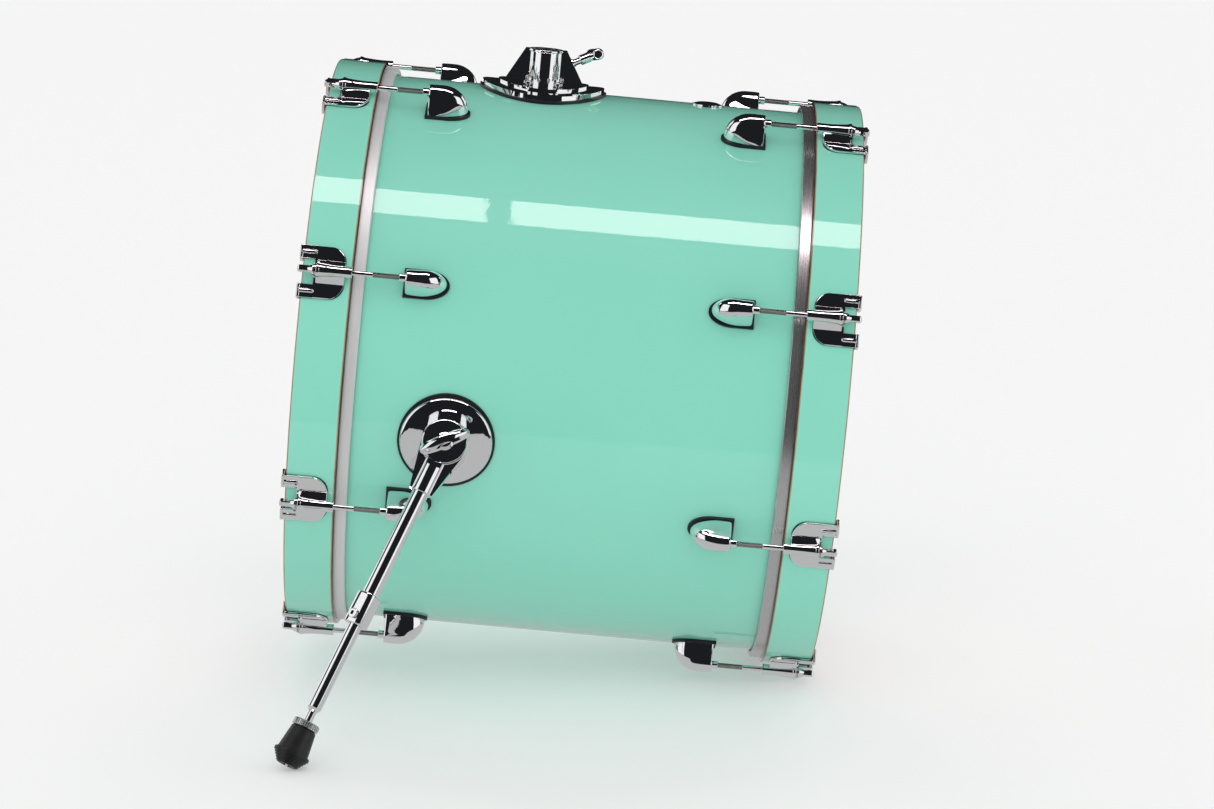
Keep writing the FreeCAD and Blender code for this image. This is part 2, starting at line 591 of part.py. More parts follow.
def tom_shoe():
    """Clamp shoe between the bolt's tip and the tom post."""
    start, direction = tom_bolt_axis()
    slug = rod_along(start + direction * (TOM_BORE_R - 1), direction,
                     TOM_BOLT_TIP - TOM_BORE_R + 0.8, TOM_SHOE_R)
    return slug.cut(rod_along(Vector(TOM_X, 0, SHELL_BORE), Z_AXIS, REACH, TOM_BORE_R + 0.1))


def tom_clamp_bolt():
    """T-handle bolt that tightens the shoe: shaft, ribbed block and cross bar."""
    start, direction = tom_bolt_axis()
    tip = TOM_BOLT_TIP
    block_start = TOM_HANDLE_AT - TOM_BLOCK_LENGTH
    rings = []
    for step in range(4):
        at = block_start + 1.4 + 2.6 * step
        rings += [(at, TOM_BLOCK_R), (at + 1.5, TOM_BLOCK_R), (at + 1.7, TOM_BLOCK_R - 0.7),
                  (at + 2.4, TOM_BLOCK_R - 0.7)]
    profile = [(tip, 0), (tip, TOM_BOLT_R), (TOM_BOSS_END + 3, TOM_BOLT_R),
               (TOM_BOSS_END + 3, TOM_NECK_R), (block_start, TOM_NECK_R),
               (block_start + 0.6, TOM_BLOCK_R)] + rings
    profile += [(TOM_HANDLE_AT - 2, TOM_BLOCK_R - 0.7), (TOM_HANDLE_AT, 3.0), (TOM_HANDLE_AT, 0)]
    screw = turned(profile, start, direction)
    across = (Y_AXIS - direction * direction.dot(Y_AXIS)).normalize()
    centre = start + direction * TOM_HANDLE_AT
    bar = rod_along(centre - across * TOM_HANDLE_HALF, across, 2 * TOM_HANDLE_HALF, TOM_HANDLE_R)
    bar = soften(bar, 2.6, lambda edge: edge.Length < 6.5 * TOM_HANDLE_R
                 and edge.Closed)
    return fused(screw, bar)


def tom_screw(x, y):
    """Round-head screw through the receiver plate and shell."""
    seat = TOM_PLATE_HIGH + TOM_STEP - (TOM_PLATE_HIGH - math.sqrt(TOM_PLATE_HIGH ** 2 - y ** 2))
    shank = rod_along(Vector(x, y, SHELL_BORE - 9), Z_AXIS, seat + 1 - SHELL_BORE + 9, TOM_SCREW_R)
    pan = rod_along(Vector(x, y, seat + 0.8), Z_AXIS, 3.4, 4.8)
    pan = soften(pan, 1.6, lambda edge: edge.BoundBox.ZMin > seat + 4)
    recess = rod_along(Vector(x, y, seat + 2.6), Z_AXIS, 3, 2.0)
    return fused(shank, pan).cut(recess)


def tom_nut(x, y):
    """Hexagon nut on a receiver screw inside the shell."""
    low = math.sqrt(SHELL_BORE ** 2 - (abs(y) + TOM_NUT_CORNERS) ** 2) - 4.2
    corners = [Vector(x + TOM_NUT_CORNERS * math.cos(math.radians(60 * k)),
                      y + TOM_NUT_CORNERS * math.sin(math.radians(60 * k)), low)
               for k in range(6)]
    return prism(corners, Z_AXIS * 4).cut(
        rod_along(Vector(x, y, low - 1), Z_AXIS, 8, TOM_SCREW_R + GAP))


# ---- spurs, made for the +Y side -------------------------------------------------------------
def spur_screw_places():
    """Fixing screws of a spur plate, as (x, angle round the drum)."""
    along = SPUR_SCREW_CIRCLE
    across = math.degrees(SPUR_SCREW_CIRCLE / SHELL_RADIUS)
    return [(SPUR_X + along, SPUR_PLATE_ANGLE - across / 2),
            (SPUR_X - along, SPUR_PLATE_ANGLE + across / 2),
            (SPUR_X - along / 2, SPUR_PLATE_ANGLE - across),
            (SPUR_X + along / 2, SPUR_PLATE_ANGLE + across)]


def spur_directions():
    """Hub axis and leg direction in the drum frame."""
    rise = math.radians(SPUR_AXIS_RISE)
    lean = math.radians(SPUR_FORWARD_LEAN)
    axis = Vector(0, math.cos(rise), math.sin(rise))
    down = Vector(0, math.sin(rise), -math.cos(rise))
    return axis, X_AXIS * math.sin(lean) + down * math.cos(lean)


def to_spur(shape):
    """Moves a shape from the spur's own frame, X down the leg and Z out of the hub."""
    axis, leg = spur_directions()
    side = axis.cross(leg)
    matrix = Matrix(leg.x, side.x, axis.x, SPUR_HUB.x, leg.y, side.y, axis.y, SPUR_HUB.y,
                    leg.z, side.z, axis.z, SPUR_HUB.z, 0, 0, 0, 1)
    placed = shape.copy()
    placed.Placement = Placement(matrix).multiply(shape.Placement)
    return placed


def floor_lift():
    """How far the tipped drum is lifted so that its lowest rim touches z = 0."""
    tilt = math.radians(TILT)
    rim_x = HOOP_OUTER_X - HOOP_EDGE_ROUND
    rim_z = HOOP_RADIUS - HOOP_EDGE_ROUND
    return rim_x * math.sin(tilt) + rim_z * math.cos(tilt) + HOOP_EDGE_ROUND


def leg_end():
    """Distance down the leg at which the foot's lower rim just touches the floor."""
    tilt = math.radians(TILT)
    up = Vector(math.sin(tilt), 0, math.cos(tilt))
    leg = spur_directions()[1]
    fall = -leg.dot(up)
    rim_drop = FOOT_END_R * math.sqrt(1 - fall ** 2)
    return (SPUR_HUB.dot(up) + floor_lift() - rim_drop) / fall


LEG_END = leg_end()
FOOT_START = LEG_END - FOOT_TOTAL
LOCK_NUT_START = FOOT_START - LOCK_NUT_THICKNESS - 0.4
CONE_START = LOCK_NUT_START - 15.0
CONE_END = CONE_START + 4.0


def spur_gasket():
    """Rubber gasket between a spur plate and the shell."""
    pad = curved_disc(SPUR_X, SPUR_GASKET_RADIUS, SHELL_RADIUS, SPUR_PLATE_LOW)
    pad = around(pad, SPUR_PLATE_ANGLE)
    return pad.cut(spur_screw_holes())


def spur_screw_holes():
    """Clearance holes for a spur plate's screws."""
    return [around(rod_along(Vector(x, 0, SHELL_BORE - 5), Z_AXIS, 25,
                             SPUR_SCREW_R + SCREW_SLACK), angle)
            for x, angle in spur_screw_places()]


def spur_base():
    """Round saddle plate with a canted boss that carries the turning socket."""
    plate = curved_disc(SPUR_X, SPUR_PLATE_RADIUS, SPUR_PLATE_LOW, SPUR_PLATE_HIGH)
    plate = soften(plate, 1.8,
                   lambda edge: on_rim(edge, SPUR_X, SPUR_PLATE_RADIUS, SPUR_PLATE_HIGH))
    plate = around(plate, SPUR_PLATE_ANGLE)
    boss = to_spur(rod_along(Vector(0, 0, -45), Z_AXIS, 45 + SPUR_SOCKET_LOW - GAP,
                             SPUR_BOSS_R))
    below = rod_along(Vector(0, 0, 0), X_AXIS, SHELL_HALF, SPUR_PLATE_LOW + 0.5)
    bolt = to_spur(rod_along(Vector(0, 0, -28), Z_AXIS, 40, SPUR_BOLT_R + GAP))
    body = fused(plate, boss.cut(below)).cut(bolt)
    blind = [around(rod_along(Vector(x, 0, SHELL_BORE - 5), Z_AXIS,
                              SPUR_PLATE_HIGH - 1.2 - SHELL_BORE + 5, SPUR_SCREW_R + GAP), angle)
             for x, angle in spur_screw_places()]
    return body.cut(blind)


def spur_screw(x, angle):
    """Screw from inside the shell into a spur plate."""
    seat = SHELL_BORE - 0.1
    centre = Vector(x, 0, seat)
    shank = rod_along(centre, Z_AXIS, SPUR_PLATE_HIGH - 1.5 - seat, SPUR_SCREW_R)
    return around(with_pan_head(shank, centre), angle)


def spur_socket():
    """Turning hub with a tapered arm and the socket for the outer tube."""
    height = SPUR_SOCKET_HIGH - SPUR_SOCKET_LOW
    hub = rod_along(Vector(0, 0, SPUR_SOCKET_LOW), Z_AXIS, height, SPUR_HUB_RADIUS)
    hub = soften(hub, 1.2, lambda edge: edge.BoundBox.ZLength < 0.1)
    touch = math.asin((SPUR_HUB_RADIUS - SPUR_NECK) / SPUR_COLLAR_END)
    touch_x = SPUR_HUB_RADIUS * math.sin(touch)
    touch_y = SPUR_HUB_RADIUS * math.cos(touch)
    web = prism([Vector(x, y, -SPUR_WEB_HALF) for x, y in (
        (touch_x, -touch_y), (SPUR_COLLAR_END - 1, -SPUR_NECK), (SPUR_COLLAR_END - 1, SPUR_NECK),
        (touch_x, touch_y))], Z_AXIS * 2 * SPUR_WEB_HALF)
    socket = rod_along(Vector(6, 0, 0), X_AXIS, SPUR_COLLAR_END - 6, SPUR_SOCKET_R)
    socket = soften(socket, 1.2, lambda edge: edge.BoundBox.XMin > SPUR_COLLAR_END - 1)
    low_cut = rod_along(Vector(0, 0, SPUR_SOCKET_LOW - 6), Z_AXIS, 6, 26.0)
    high_cut = rod_along(Vector(0, 0, SPUR_SOCKET_HIGH), Z_AXIS, 6, SPUR_BAR_HALF + 1)
    tube_bore = rod_along(Vector(SPUR_TUBE_START - GAP, 0, 0), X_AXIS, REACH / 4,
                          SPUR_TUBE_R + GAP)
    bolt_bore = rod_along(Vector(0, 0, -30), Z_AXIS, 60, SPUR_BOLT_R + GAP)
    body = fused(hub, web, socket.cut([low_cut, high_cut]))
    return to_spur(body.cut([tube_bore, bolt_bore]))


def spur_wing_screw():
    """Cast wing screw: round flange, cross wing, middle boss and threaded shank."""
    flange_low = SPUR_SOCKET_HIGH + GAP
    flange = rod_along(Vector(0, 0, flange_low), Z_AXIS, SPUR_FLANGE, SPUR_HUB_RADIUS - 1.0)
    flange = soften(flange, 1.2, lambda edge: edge.BoundBox.ZMin > flange_low + 3)
    wing_low = flange_low + 2
    wing_high = flange_low + SPUR_WING_HEIGHT
    wing = prism([Vector(-SPUR_BAR_HALF, y, z) for y, z in (
        (-4.6, wing_low), (4.6, wing_low), (3.0, wing_high), (-3.0, wing_high))],
        X_AXIS * 2 * SPUR_BAR_HALF)
    wing = wing.common(wing_outline(wing_low, wing_high))
    wing = soften(wing, 1.0, lambda edge: edge.BoundBox.ZMin > wing_high - 2)
    boss = turned([(flange_low + 2, 0), (flange_low + 2, 8.6), (flange_low + 8.0, 7.4),
                   (flange_low + 9.4, 6.0), (flange_low + 9.4, 0)], ORIGIN, Z_AXIS)
    shank = rod_along(Vector(0, 0, SPUR_BOLT_END), Z_AXIS, flange_low + 4 - SPUR_BOLT_END,
                      SPUR_BOLT_R)
    body = fused(flange, wing, boss, shank)
    body.rotate(ORIGIN, Z_AXIS, SPUR_BAR_ANGLE)
    return to_spur(body)


def wing_outline(low, high):
    """Side outline of the wing: an arched top, lower towards both ends."""
    y = -REACH / 8
    shoulder = high - SPUR_WING_FALL
    right, left = Vector(SPUR_BAR_HALF, y, shoulder), Vector(-SPUR_BAR_HALF, y, shoulder)
    base_right, base_left = Vector(SPUR_BAR_HALF, y, low), Vector(-SPUR_BAR_HALF, y, low)
    arch = Part.Arc(right, Vector(0, y, high), left).toShape()
    sides = [Part.LineSegment(*pair).toShape() for pair in (
        (left, base_left), (base_left, base_right), (base_right, right))]
    return Part.Face(Part.Wire([arch] + sides)).extrude(Y_AXIS * REACH / 4)


def spur_outer_tube():
    """Outer leg tube, with a hole for the clamp screw near its lower end."""
    length = SPUR_CLAMP_END - 2 - SPUR_TUBE_START
    start = Vector(SPUR_TUBE_START, 0, 0)
    tube = rod_along(start, X_AXIS, length, SPUR_TUBE_R)
    tube = tube.cut(rod_along(start - X_AXIS, X_AXIS, length + 2, SPUR_TUBE_BORE))
    return to_spur(tube.cut(clamp_cross(CLAMP_SCREW_R + 0.2)))


def clamp_cross(radius):
    """A cylinder out through the clamp's front, where its key screw runs."""
    turn = math.radians(CLAMP_ROLL)
    out = Vector(0, -math.sin(turn), math.cos(turn))
    return rod_along(Vector(CLAMP_SCREW_AT, 0, 0), out, 20, radius)


def spur_clamp():
    """Clamp block on the lower end of the outer tube."""
    half = CLAMP_HALF
    block = box_between((SPUR_CLAMP_START, -half, -half), (SPUR_CLAMP_END, half, CLAMP_FRONT))
    block = soften(block, 2.4, lambda edge: edge.BoundBox.XLength > 20)
    block = soften(block, 0.8, lambda edge: edge.BoundBox.XLength < 0.1)
    bore = rod_along(Vector(SPUR_CLAMP_START - 1, 0, 0), X_AXIS,
                     SPUR_CLAMP_END - SPUR_CLAMP_START - 1, SPUR_TUBE_R + GAP)
    exit_bore = rod_along(Vector(SPUR_CLAMP_END - 3, 0, 0), X_AXIS, 6, SPUR_ROD_R + 0.2)
    slit = box_between((SPUR_CLAMP_START - 1, -0.8, -half - 1), (SPUR_CLAMP_END - 12, 0.8, 0))
    body = block.cut([bore, exit_bore, slit])
    body.rotate(ORIGIN, X_AXIS, CLAMP_ROLL)
    return to_spur(body.cut(clamp_cross(CLAMP_SCREW_R + GAP)))


def spur_clamp_screw():
    """Key screw of the clamp: round socket head and shank down to the inner rod."""
    head_low = CLAMP_FRONT + GAP
    shank = rod_along(Vector(0, 0, SPUR_ROD_R + GAP), Z_AXIS, head_low - SPUR_ROD_R, CLAMP_SCREW_R)
    cap = rod_along(Vector(0, 0, head_low), Z_AXIS, CLAMP_CAP_HEIGHT, CLAMP_CAP_R)
    cap = soften(cap, 0.9, lambda edge: edge.BoundBox.ZMin > head_low + CLAMP_CAP_HEIGHT - 0.1)
    half = 2.0
    socket = box_between((-half, -half, head_low + 0.9), (half, half, head_low + 4))
    body = fused(shank, cap).cut(socket)
    body.rotate(ORIGIN, X_AXIS, CLAMP_ROLL)
    body.translate(Vector(CLAMP_SCREW_AT, 0, 0))
    return to_spur(body)


def spur_inner_rod():
    """Sliding leg rod: taper to a threaded stud that ends in a spike."""
    stud = SPUR_STUD_R
    profile = [(SPUR_ROD_START, 0), (SPUR_ROD_START, SPUR_ROD_R - 0.8),
               (SPUR_ROD_START + 0.8, SPUR_ROD_R), (CONE_START, SPUR_ROD_R), (CONE_END, stud),
               (LEG_END - 6.0, stud), (LEG_END + 1.6, 0.6), (LEG_END + 2.0, 0)]
    return to_spur(turned(profile, ORIGIN, X_AXIS))


def spur_lock_nut():
    """Round knurled nut that locks the rubber foot on the stud."""
    ease = 0.9
    bore = SPUR_STUD_R + GAP
    start, end = LOCK_NUT_START, LOCK_NUT_START + LOCK_NUT_THICKNESS
    disc = turned([(start, bore), (start, LOCK_NUT_R - ease), (start + ease, LOCK_NUT_R),
                   (end - ease, LOCK_NUT_R), (end, LOCK_NUT_R - ease), (end, bore)],
                  ORIGIN, X_AXIS)
    notch = rod_along(Vector(start - 1, 0, LOCK_NUT_R + 0.35), X_AXIS, end - start + 2, 0.8)
    knurl = []
    for step in range(KNURL_GROOVES):
        groove = notch.copy()
        groove.rotate(ORIGIN, X_AXIS, 360.0 / KNURL_GROOVES * step)
        knurl.append(groove)
    return to_spur(disc.cut(knurl))


def spur_foot():
    """Rubber foot: tapered body, flange and ribbed tread round the spike's hole."""
    flange_at = LEG_END - FOOT_TREAD
    profile = [(FOOT_START, SPUR_STUD_R + GAP), (FOOT_START, FOOT_TOP_R - 1.2),
               (FOOT_START + 1.2, FOOT_TOP_R), (flange_at - 2.2, 15.6), (flange_at - 2.0, 17.0),
               (flange_at - 1.4, FOOT_FLANGE_R), (flange_at, FOOT_FLANGE_R)]
    steps = 5
    drop = (FOOT_FLANGE_R - FOOT_END_R) / steps
    rise = FOOT_TREAD / steps
    for step in range(1, steps + 1):
        along = flange_at + rise * step
        radius = FOOT_FLANGE_R - drop * step
        profile += [(along - rise * 0.45, radius + drop * 0.95), (along - rise * 0.4, radius)]
        profile += [(along, radius)]
    profile.append((LEG_END, SPUR_STUD_R + GAP))
    return to_spur(turned(profile, ORIGIN, X_AXIS))


# ---- hand-over -------------------------------------------------------------------------------
def stand_up(shape):
    """Tips the drum front-end-up and lifts it on to the plane z = 0."""
    placed = shape.copy()
    placed.rotate(ORIGIN, Y_AXIS, -TILT)
    placed.translate(Vector(0, 0, floor_lift()))
    return placed


def save(name, shape):
    """Writes one node."""
    stand_up(shape).exportStep("parts/" + name + ".step")


def save_both_ends(name, shape):
    """Writes a front node and its batter twin."""
    front, batter = both_ends(shape)
    save("front_" + name, front)
    save("batter_" + name, batter)


def save_both_sides(name, shape):
    """Writes a left node (+Y) and its right twin (-Y)."""
    save("left_" + name, shape)
    save("right_" + name, shape.mirror(ORIGIN, Y_AXIS))


def save_drum():
    """Shell, vent, heads and hoops."""
    save("shell", shell())
    save("vent_grommet", vent_grommet())
    save_both_ends("head", head())
    save_both_ends("flesh_hoop", flesh_hoop())
    save_both_ends("hoop", counterhoop())


def save_tension_fittings():
    """Lugs, claws and tension rods at both ends."""
    for name, piece in (("lugs", lug()), ("lug_gaskets", lug_gasket()),
                        ("swivel_nuts", swivel_nut()), ("lug_screws", lug_screw()),
                        ("lug_washers", lug_washer()), ("claws", claw()),
                        ("claw_pads", claw_pad()), ("rod_washers", rod_washer())):
        save(name, group([copy for end in both_ends(piece) for copy in ring_of(end)]))
    front_rod, batter_rod = both_ends(tension_rod())
    for number, angle in enumerate(FITTING_ANGLES, start=1):
        save("front_rod_" + str(number), around(front_rod, angle))
        save("batter_rod_" + str(number), around(batter_rod, angle))


def save_tom_receiver():
    """Tom holder receiver on top of the shell."""
    save("tom_gasket", tom_gasket())
    save("tom_base", tom_base())
    save("tom_bushing", tom_bushing())
    save("tom_clamp_shoe", tom_shoe())
    save("tom_clamp_bolt", tom_clamp_bolt())
    save("tom_screws", group([tom_screw(x, y) for x, y in TOM_SCREW_PLACES]))
    save("tom_nuts", group([tom_nut(x, y) for x, y in TOM_SCREW_PLACES]))


def save_spurs():
    """Both folding, telescoping legs."""
    for name, piece in (("spur_gasket", spur_gasket()), ("spur_base", spur_base()),
                        ("spur_socket", spur_socket()), ("spur_wing_screw", spur_wing_screw()),
                        ("spur_outer_tube", spur_outer_tube()), ("spur_clamp", spur_clamp()),
                        ("spur_clamp_screw", spur_clamp_screw()),
                        ("spur_inner_rod", spur_inner_rod()), ("spur_lock_nut", spur_lock_nut()),
                        ("spur_foot", spur_foot())):
        save_both_sides(name, piece)
    screws = [spur_screw(x, angle) for x, angle in spur_screw_places()]
    mirrored = [screw.mirror(ORIGIN, Y_AXIS) for screw in screws]
    save("spur_screws", group(screws + mirrored))


save_drum()
save_tension_fittings()
save_tom_receiver()
save_spurs()
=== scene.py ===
"""Looks for the bass drum: materials on the CAD frame, finer meshes for its fittings, a studio."""

import json
import math

import bmesh
import bpy
from mathutils import Matrix, Vector


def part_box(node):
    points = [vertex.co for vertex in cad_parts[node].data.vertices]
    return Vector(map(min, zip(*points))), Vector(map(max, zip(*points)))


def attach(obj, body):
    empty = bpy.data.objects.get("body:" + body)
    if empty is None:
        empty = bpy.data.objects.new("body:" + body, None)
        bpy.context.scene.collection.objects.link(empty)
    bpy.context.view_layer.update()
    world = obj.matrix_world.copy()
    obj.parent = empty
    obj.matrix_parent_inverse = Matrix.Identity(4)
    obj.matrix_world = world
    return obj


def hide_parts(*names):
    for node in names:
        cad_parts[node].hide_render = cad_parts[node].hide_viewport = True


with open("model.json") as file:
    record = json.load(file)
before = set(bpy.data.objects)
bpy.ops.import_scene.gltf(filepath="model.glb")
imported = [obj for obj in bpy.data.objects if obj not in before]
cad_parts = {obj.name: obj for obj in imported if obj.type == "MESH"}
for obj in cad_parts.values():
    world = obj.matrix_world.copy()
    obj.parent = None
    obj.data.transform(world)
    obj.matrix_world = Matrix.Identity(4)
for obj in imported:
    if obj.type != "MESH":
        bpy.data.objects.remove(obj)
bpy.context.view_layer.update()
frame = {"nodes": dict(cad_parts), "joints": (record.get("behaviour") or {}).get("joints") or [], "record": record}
scene = bpy.context.scene

# ---- the drum's own axes, in metres ----------------------------------------------------------
JOINTS = {joint["name"]: joint for joint in frame["joints"]}
DRUM_AXIS = Vector(JOINTS["front_rod_1_turn"]["axis"]).normalized()
ACROSS = Vector((0, 1, 0))
DRUM_UP = DRUM_AXIS.cross(ACROSS).normalized()
SHELL_LOW, SHELL_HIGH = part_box("shell")
SHELL_MIDDLE = (SHELL_LOW + SHELL_HIGH) / 2


# ---- node helpers ----------------------------------------------------------------------------
class Shader:
    """A material's node tree, with short calls to add nodes and join them."""

    def __init__(self, name):
        self.material = bpy.data.materials.new(name)
        self.material.use_nodes = True
        self.tree = self.material.node_tree
        self.bsdf = self.tree.nodes["Principled BSDF"]

    def surface(self, **values):
        """Sets inputs of the Principled shader: underscores stand for spaces."""
        for key, value in values.items():
            self.feed(self.bsdf.inputs[key.replace("_", " ")], value)

    def feed(self, socket, value):
        """Joins another node's output to a socket, or sets the socket's own value."""
        if isinstance(value, bpy.types.NodeSocket):
            self.tree.links.new(value, socket)
        elif isinstance(value, tuple) and len(value) == 3 and len(socket.default_value) == 4:
            socket.default_value = (*value, 1.0)
        else:
            socket.default_value = value

    def node(self, kind, output, options=None, **inputs):
        """Adds a node and returns one of its outputs."""
        made = self.tree.nodes.new("ShaderNode" + kind)
        for key, value in (options or {}).items():
            setattr(made, key, value)
        for key, value in inputs.items():
            place = int(key[1:]) if key[1:].isdigit() else key.replace("_", " ")
            self.feed(made.inputs[place], value)
        return made.outputs[output]

    def position(self):
        """Place on the object, in metres."""
        return self.node("TexCoord", "Object")

    def math(self, operation, *values):
        """A Math node."""
        inputs = {f"i{k}": value for k, value in enumerate(values)}
        return self.node("Math", "Value", {"operation": operation}, **inputs)

    def dot(self, vector, direction):
        """Scalar product of a node's vector with a fixed direction."""
        return self.node("VectorMath", "Value", {"operation": "DOT_PRODUCT"},
                         i0=vector, i1=tuple(direction))

    def noise(self, vector, scale, detail=2.0, roughness=0.5):
        """Noise value from 0 to 1."""
        return self.node("TexNoise", 0, Vector=vector, Scale=scale, Detail=detail,
                         Roughness=roughness)

    def spread(self, value, low, high, to_low=0.0, to_high=1.0):
        """Maps a value from one range to another, clamped."""
        return self.node("MapRange", "Result", {"clamp": True}, Value=value, From_Min=low,
                         From_Max=high, To_Min=to_low, To_Max=to_high)

    def mix(self, factor, first, second):
        """Mixes two colours."""
        made = self.tree.nodes.new("ShaderNodeMix")
        made.data_type = "RGBA"
        self.feed(made.inputs["Factor"], factor)
        self.feed(made.inputs[6], first)
        self.feed(made.inputs[7], second)
        return made.outputs[2]

    def bump(self, height, strength, distance):
        """Bump from a height, fed to the shader's normal."""
        self.surface(Normal=self.node("Bump", "Normal", Strength=strength, Distance=distance,
                                      Height=height))


# ---- materials -------------------------------------------------------------------------------
TEAL_DEEP = (0.245, 0.690, 0.535)
TEAL_LIGHT = (0.270, 0.725, 0.570)
MAPLE_LIGHT = (0.47, 0.30, 0.17)
MAPLE_DARK = (0.25, 0.145, 0.075)
# painted shade: colour of the near-black line where a hoop's inner end meets the flesh hoop
INNER_SHADE_LINE = (0.045, 0.030, 0.022)
HOOP_SKIN = 0.0011              # the lacquer's depth under a hoop's outer face, metres
SKIN_BLEND = 0.0002             # half width of its change to wood there
LINE_BLEND = 0.0001             # and at the two ends of a hoop's outside
WOOD_INNER = 0.0026             # bare wood at a hoop's inner end
WOOD_OUTER = 0.0013             # and at its outer end
# painted shade line at a hoop's inner end, where it meets the flesh hoop
SHADE_LINE_FULL, SHADE_LINE_GONE = 0.0013, 0.0017     # from the inner end
GRAIN_ALONG, GRAIN_ROUND, GRAIN_PLIES = 90.0, 9.0, 1400.0
STREAKS_ALONG, STREAKS_ROUND = 2600.0, 5.0
SMUDGE_SCALE = 55.0


def drum_place(shader):
    """Distance along the drum, and across it and up from the shell's middle."""
    place = shader.position()
    up = shader.math("SUBTRACT", shader.dot(place, DRUM_UP), SHELL_MIDDLE.dot(DRUM_UP))
    return shader.dot(place, DRUM_AXIS), shader.dot(place, ACROSS), up


def lacquer_inputs(shader):
    """Sets the clear coat of the teal lacquer and returns its colour."""
    place = shader.position()
    cloud = shader.noise(place, scale=9.0, detail=3.0)
    colour = shader.mix(cloud, TEAL_DEEP, TEAL_LIGHT)
    shader.surface(Roughness=0.42, Specular_IOR_Level=0.12, Coat_Weight=1.0,
                   Coat_Roughness=0.025, Coat_IOR=1.52)
    peel = shader.noise(place, scale=160.0)
    normal = shader.node("Bump", "Normal", Strength=0.035, Distance=0.0006, Height=peel)
    shader.surface(Coat_Normal=normal)
    return colour


def teal_lacquer():
    """Gloss lacquer on the shell."""
    shader = Shader("teal_lacquer")
    shader.surface(Base_Color=lacquer_inputs(shader))
    return shader.material


def hoop_lacquer():
    """Teal lacquer on a hoop's outside, bare maple ply on edges and inside, painted shade at its inner end."""
    shader = Shader("hoop_lacquer")
    colour = lacquer_inputs(shader)
    along, across, up = drum_place(shader)
    radius = shader.math("SQRT", shader.math(
        "ADD", shader.math("MULTIPLY", across, across), shader.math("MULTIPLY", up, up)))
    skin = HOOP_RADIUS - HOOP_SKIN
    from_middle = shader.math("ABSOLUTE", shader.math(
        "SUBTRACT", along, SHELL_MIDDLE.dot(DRUM_AXIS)))
    start, end = HOOP_INNER_X + WOOD_INNER, HOOP_OUTER_X - WOOD_OUTER
    between_ends = shader.math(
        "MULTIPLY", shader.spread(from_middle, start - LINE_BLEND, start + LINE_BLEND),
        shader.spread(from_middle, end - LINE_BLEND, end + LINE_BLEND, 1.0, 0.0))
    lacquered = shader.math(
        "MULTIPLY", shader.spread(radius, skin - SKIN_BLEND, skin + SKIN_BLEND), between_ends)
    angle = shader.math("ARCTAN2", across, up)
    grain_place = shader.node("CombineXYZ", "Vector",
                              X=shader.math("MULTIPLY", along, GRAIN_ALONG),
                              Y=shader.math("MULTIPLY", angle, GRAIN_ROUND),
                              Z=shader.math("MULTIPLY", radius, GRAIN_PLIES))
    grain = shader.noise(grain_place, scale=1.0, detail=4.0, roughness=0.6)
    wood = shader.mix(shader.spread(grain, 0.3, 0.7), MAPLE_DARK, MAPLE_LIGHT)
    # painted shade: the wood turns near-black at the inner end, where the hoop meets the flesh hoop
    shade_line = shader.spread(from_middle, HOOP_INNER_X + SHADE_LINE_FULL, HOOP_INNER_X + SHADE_LINE_GONE,
                            1.0, 0.0)
    wood = shader.mix(shade_line, wood, INNER_SHADE_LINE)
    shader.surface(Base_Color=shader.mix(lacquered, wood, colour))
    return shader.material


def metal(name, colour, rough_low, rough_high):
    """Polished metal whose roughness varies a little, as handled plate does."""
    shader = Shader(name)
    place = shader.position()
    smudge = shader.noise(place, scale=SMUDGE_SCALE, detail=4.0, roughness=0.6)
    shader.surface(Base_Color=colour, Metallic=1.0,
                   Roughness=shader.spread(smudge, 0.35, 0.75, rough_low, rough_high))
    shader.bump(shader.noise(place, scale=SMUDGE_SCALE * 12), strength=0.02, distance=0.0002)
    return shader.material


def satin_aluminium(name, shade, metallic, roughness):
    """Rolled aluminium flesh hoop with fine lines along its run."""
    shader = Shader(name)
    along, across, up = drum_place(shader)
    angle = shader.math("ARCTAN2", across, up)
    lines = shader.node("CombineXYZ", "Vector",
                        X=shader.math("MULTIPLY", along, STREAKS_ALONG),
                        Y=shader.math("MULTIPLY", angle, STREAKS_ROUND), Z=0.0)
    streak = shader.noise(lines, scale=1.0, detail=3.0, roughness=0.7)
    dull, bright = 0.84 * shade, 1.12 * shade
    shader.surface(Base_Color=shader.mix(streak, (dull, dull, dull), (bright, bright, bright)),
                   Metallic=metallic, Roughness=shader.spread(
                       streak, 0.3, 0.7, roughness - 0.05, roughness + 0.06))
    shader.bump(streak, strength=0.15, distance=0.0003)
    return shader.material


def rubber():
    """Matt black rubber with a fine mould texture."""
    shader = Shader("black_rubber")
    place = shader.position()
    worn = shader.noise(place, scale=40.0, detail=3.0)
    shader.surface(Base_Color=shader.mix(worn, (0.006, 0.006, 0.0065), (0.014, 0.014, 0.015)),
                   Roughness=shader.spread(worn, 0.3, 0.7, 0.36, 0.52))
    shader.bump(shader.noise(place, scale=900.0), strength=0.25, distance=0.0002)
    return shader.material


def nylon():
    """Black moulded nylon."""
    shader = Shader("black_nylon")
    place = shader.position()
    cloud = shader.noise(place, scale=60.0)
    shader.surface(Base_Color=shader.mix(cloud, (0.015, 0.015, 0.016), (0.03, 0.03, 0.03)),
                   Roughness=0.4)
    shader.bump(shader.noise(place, scale=1200.0), strength=0.15, distance=0.0001)
    return shader.material


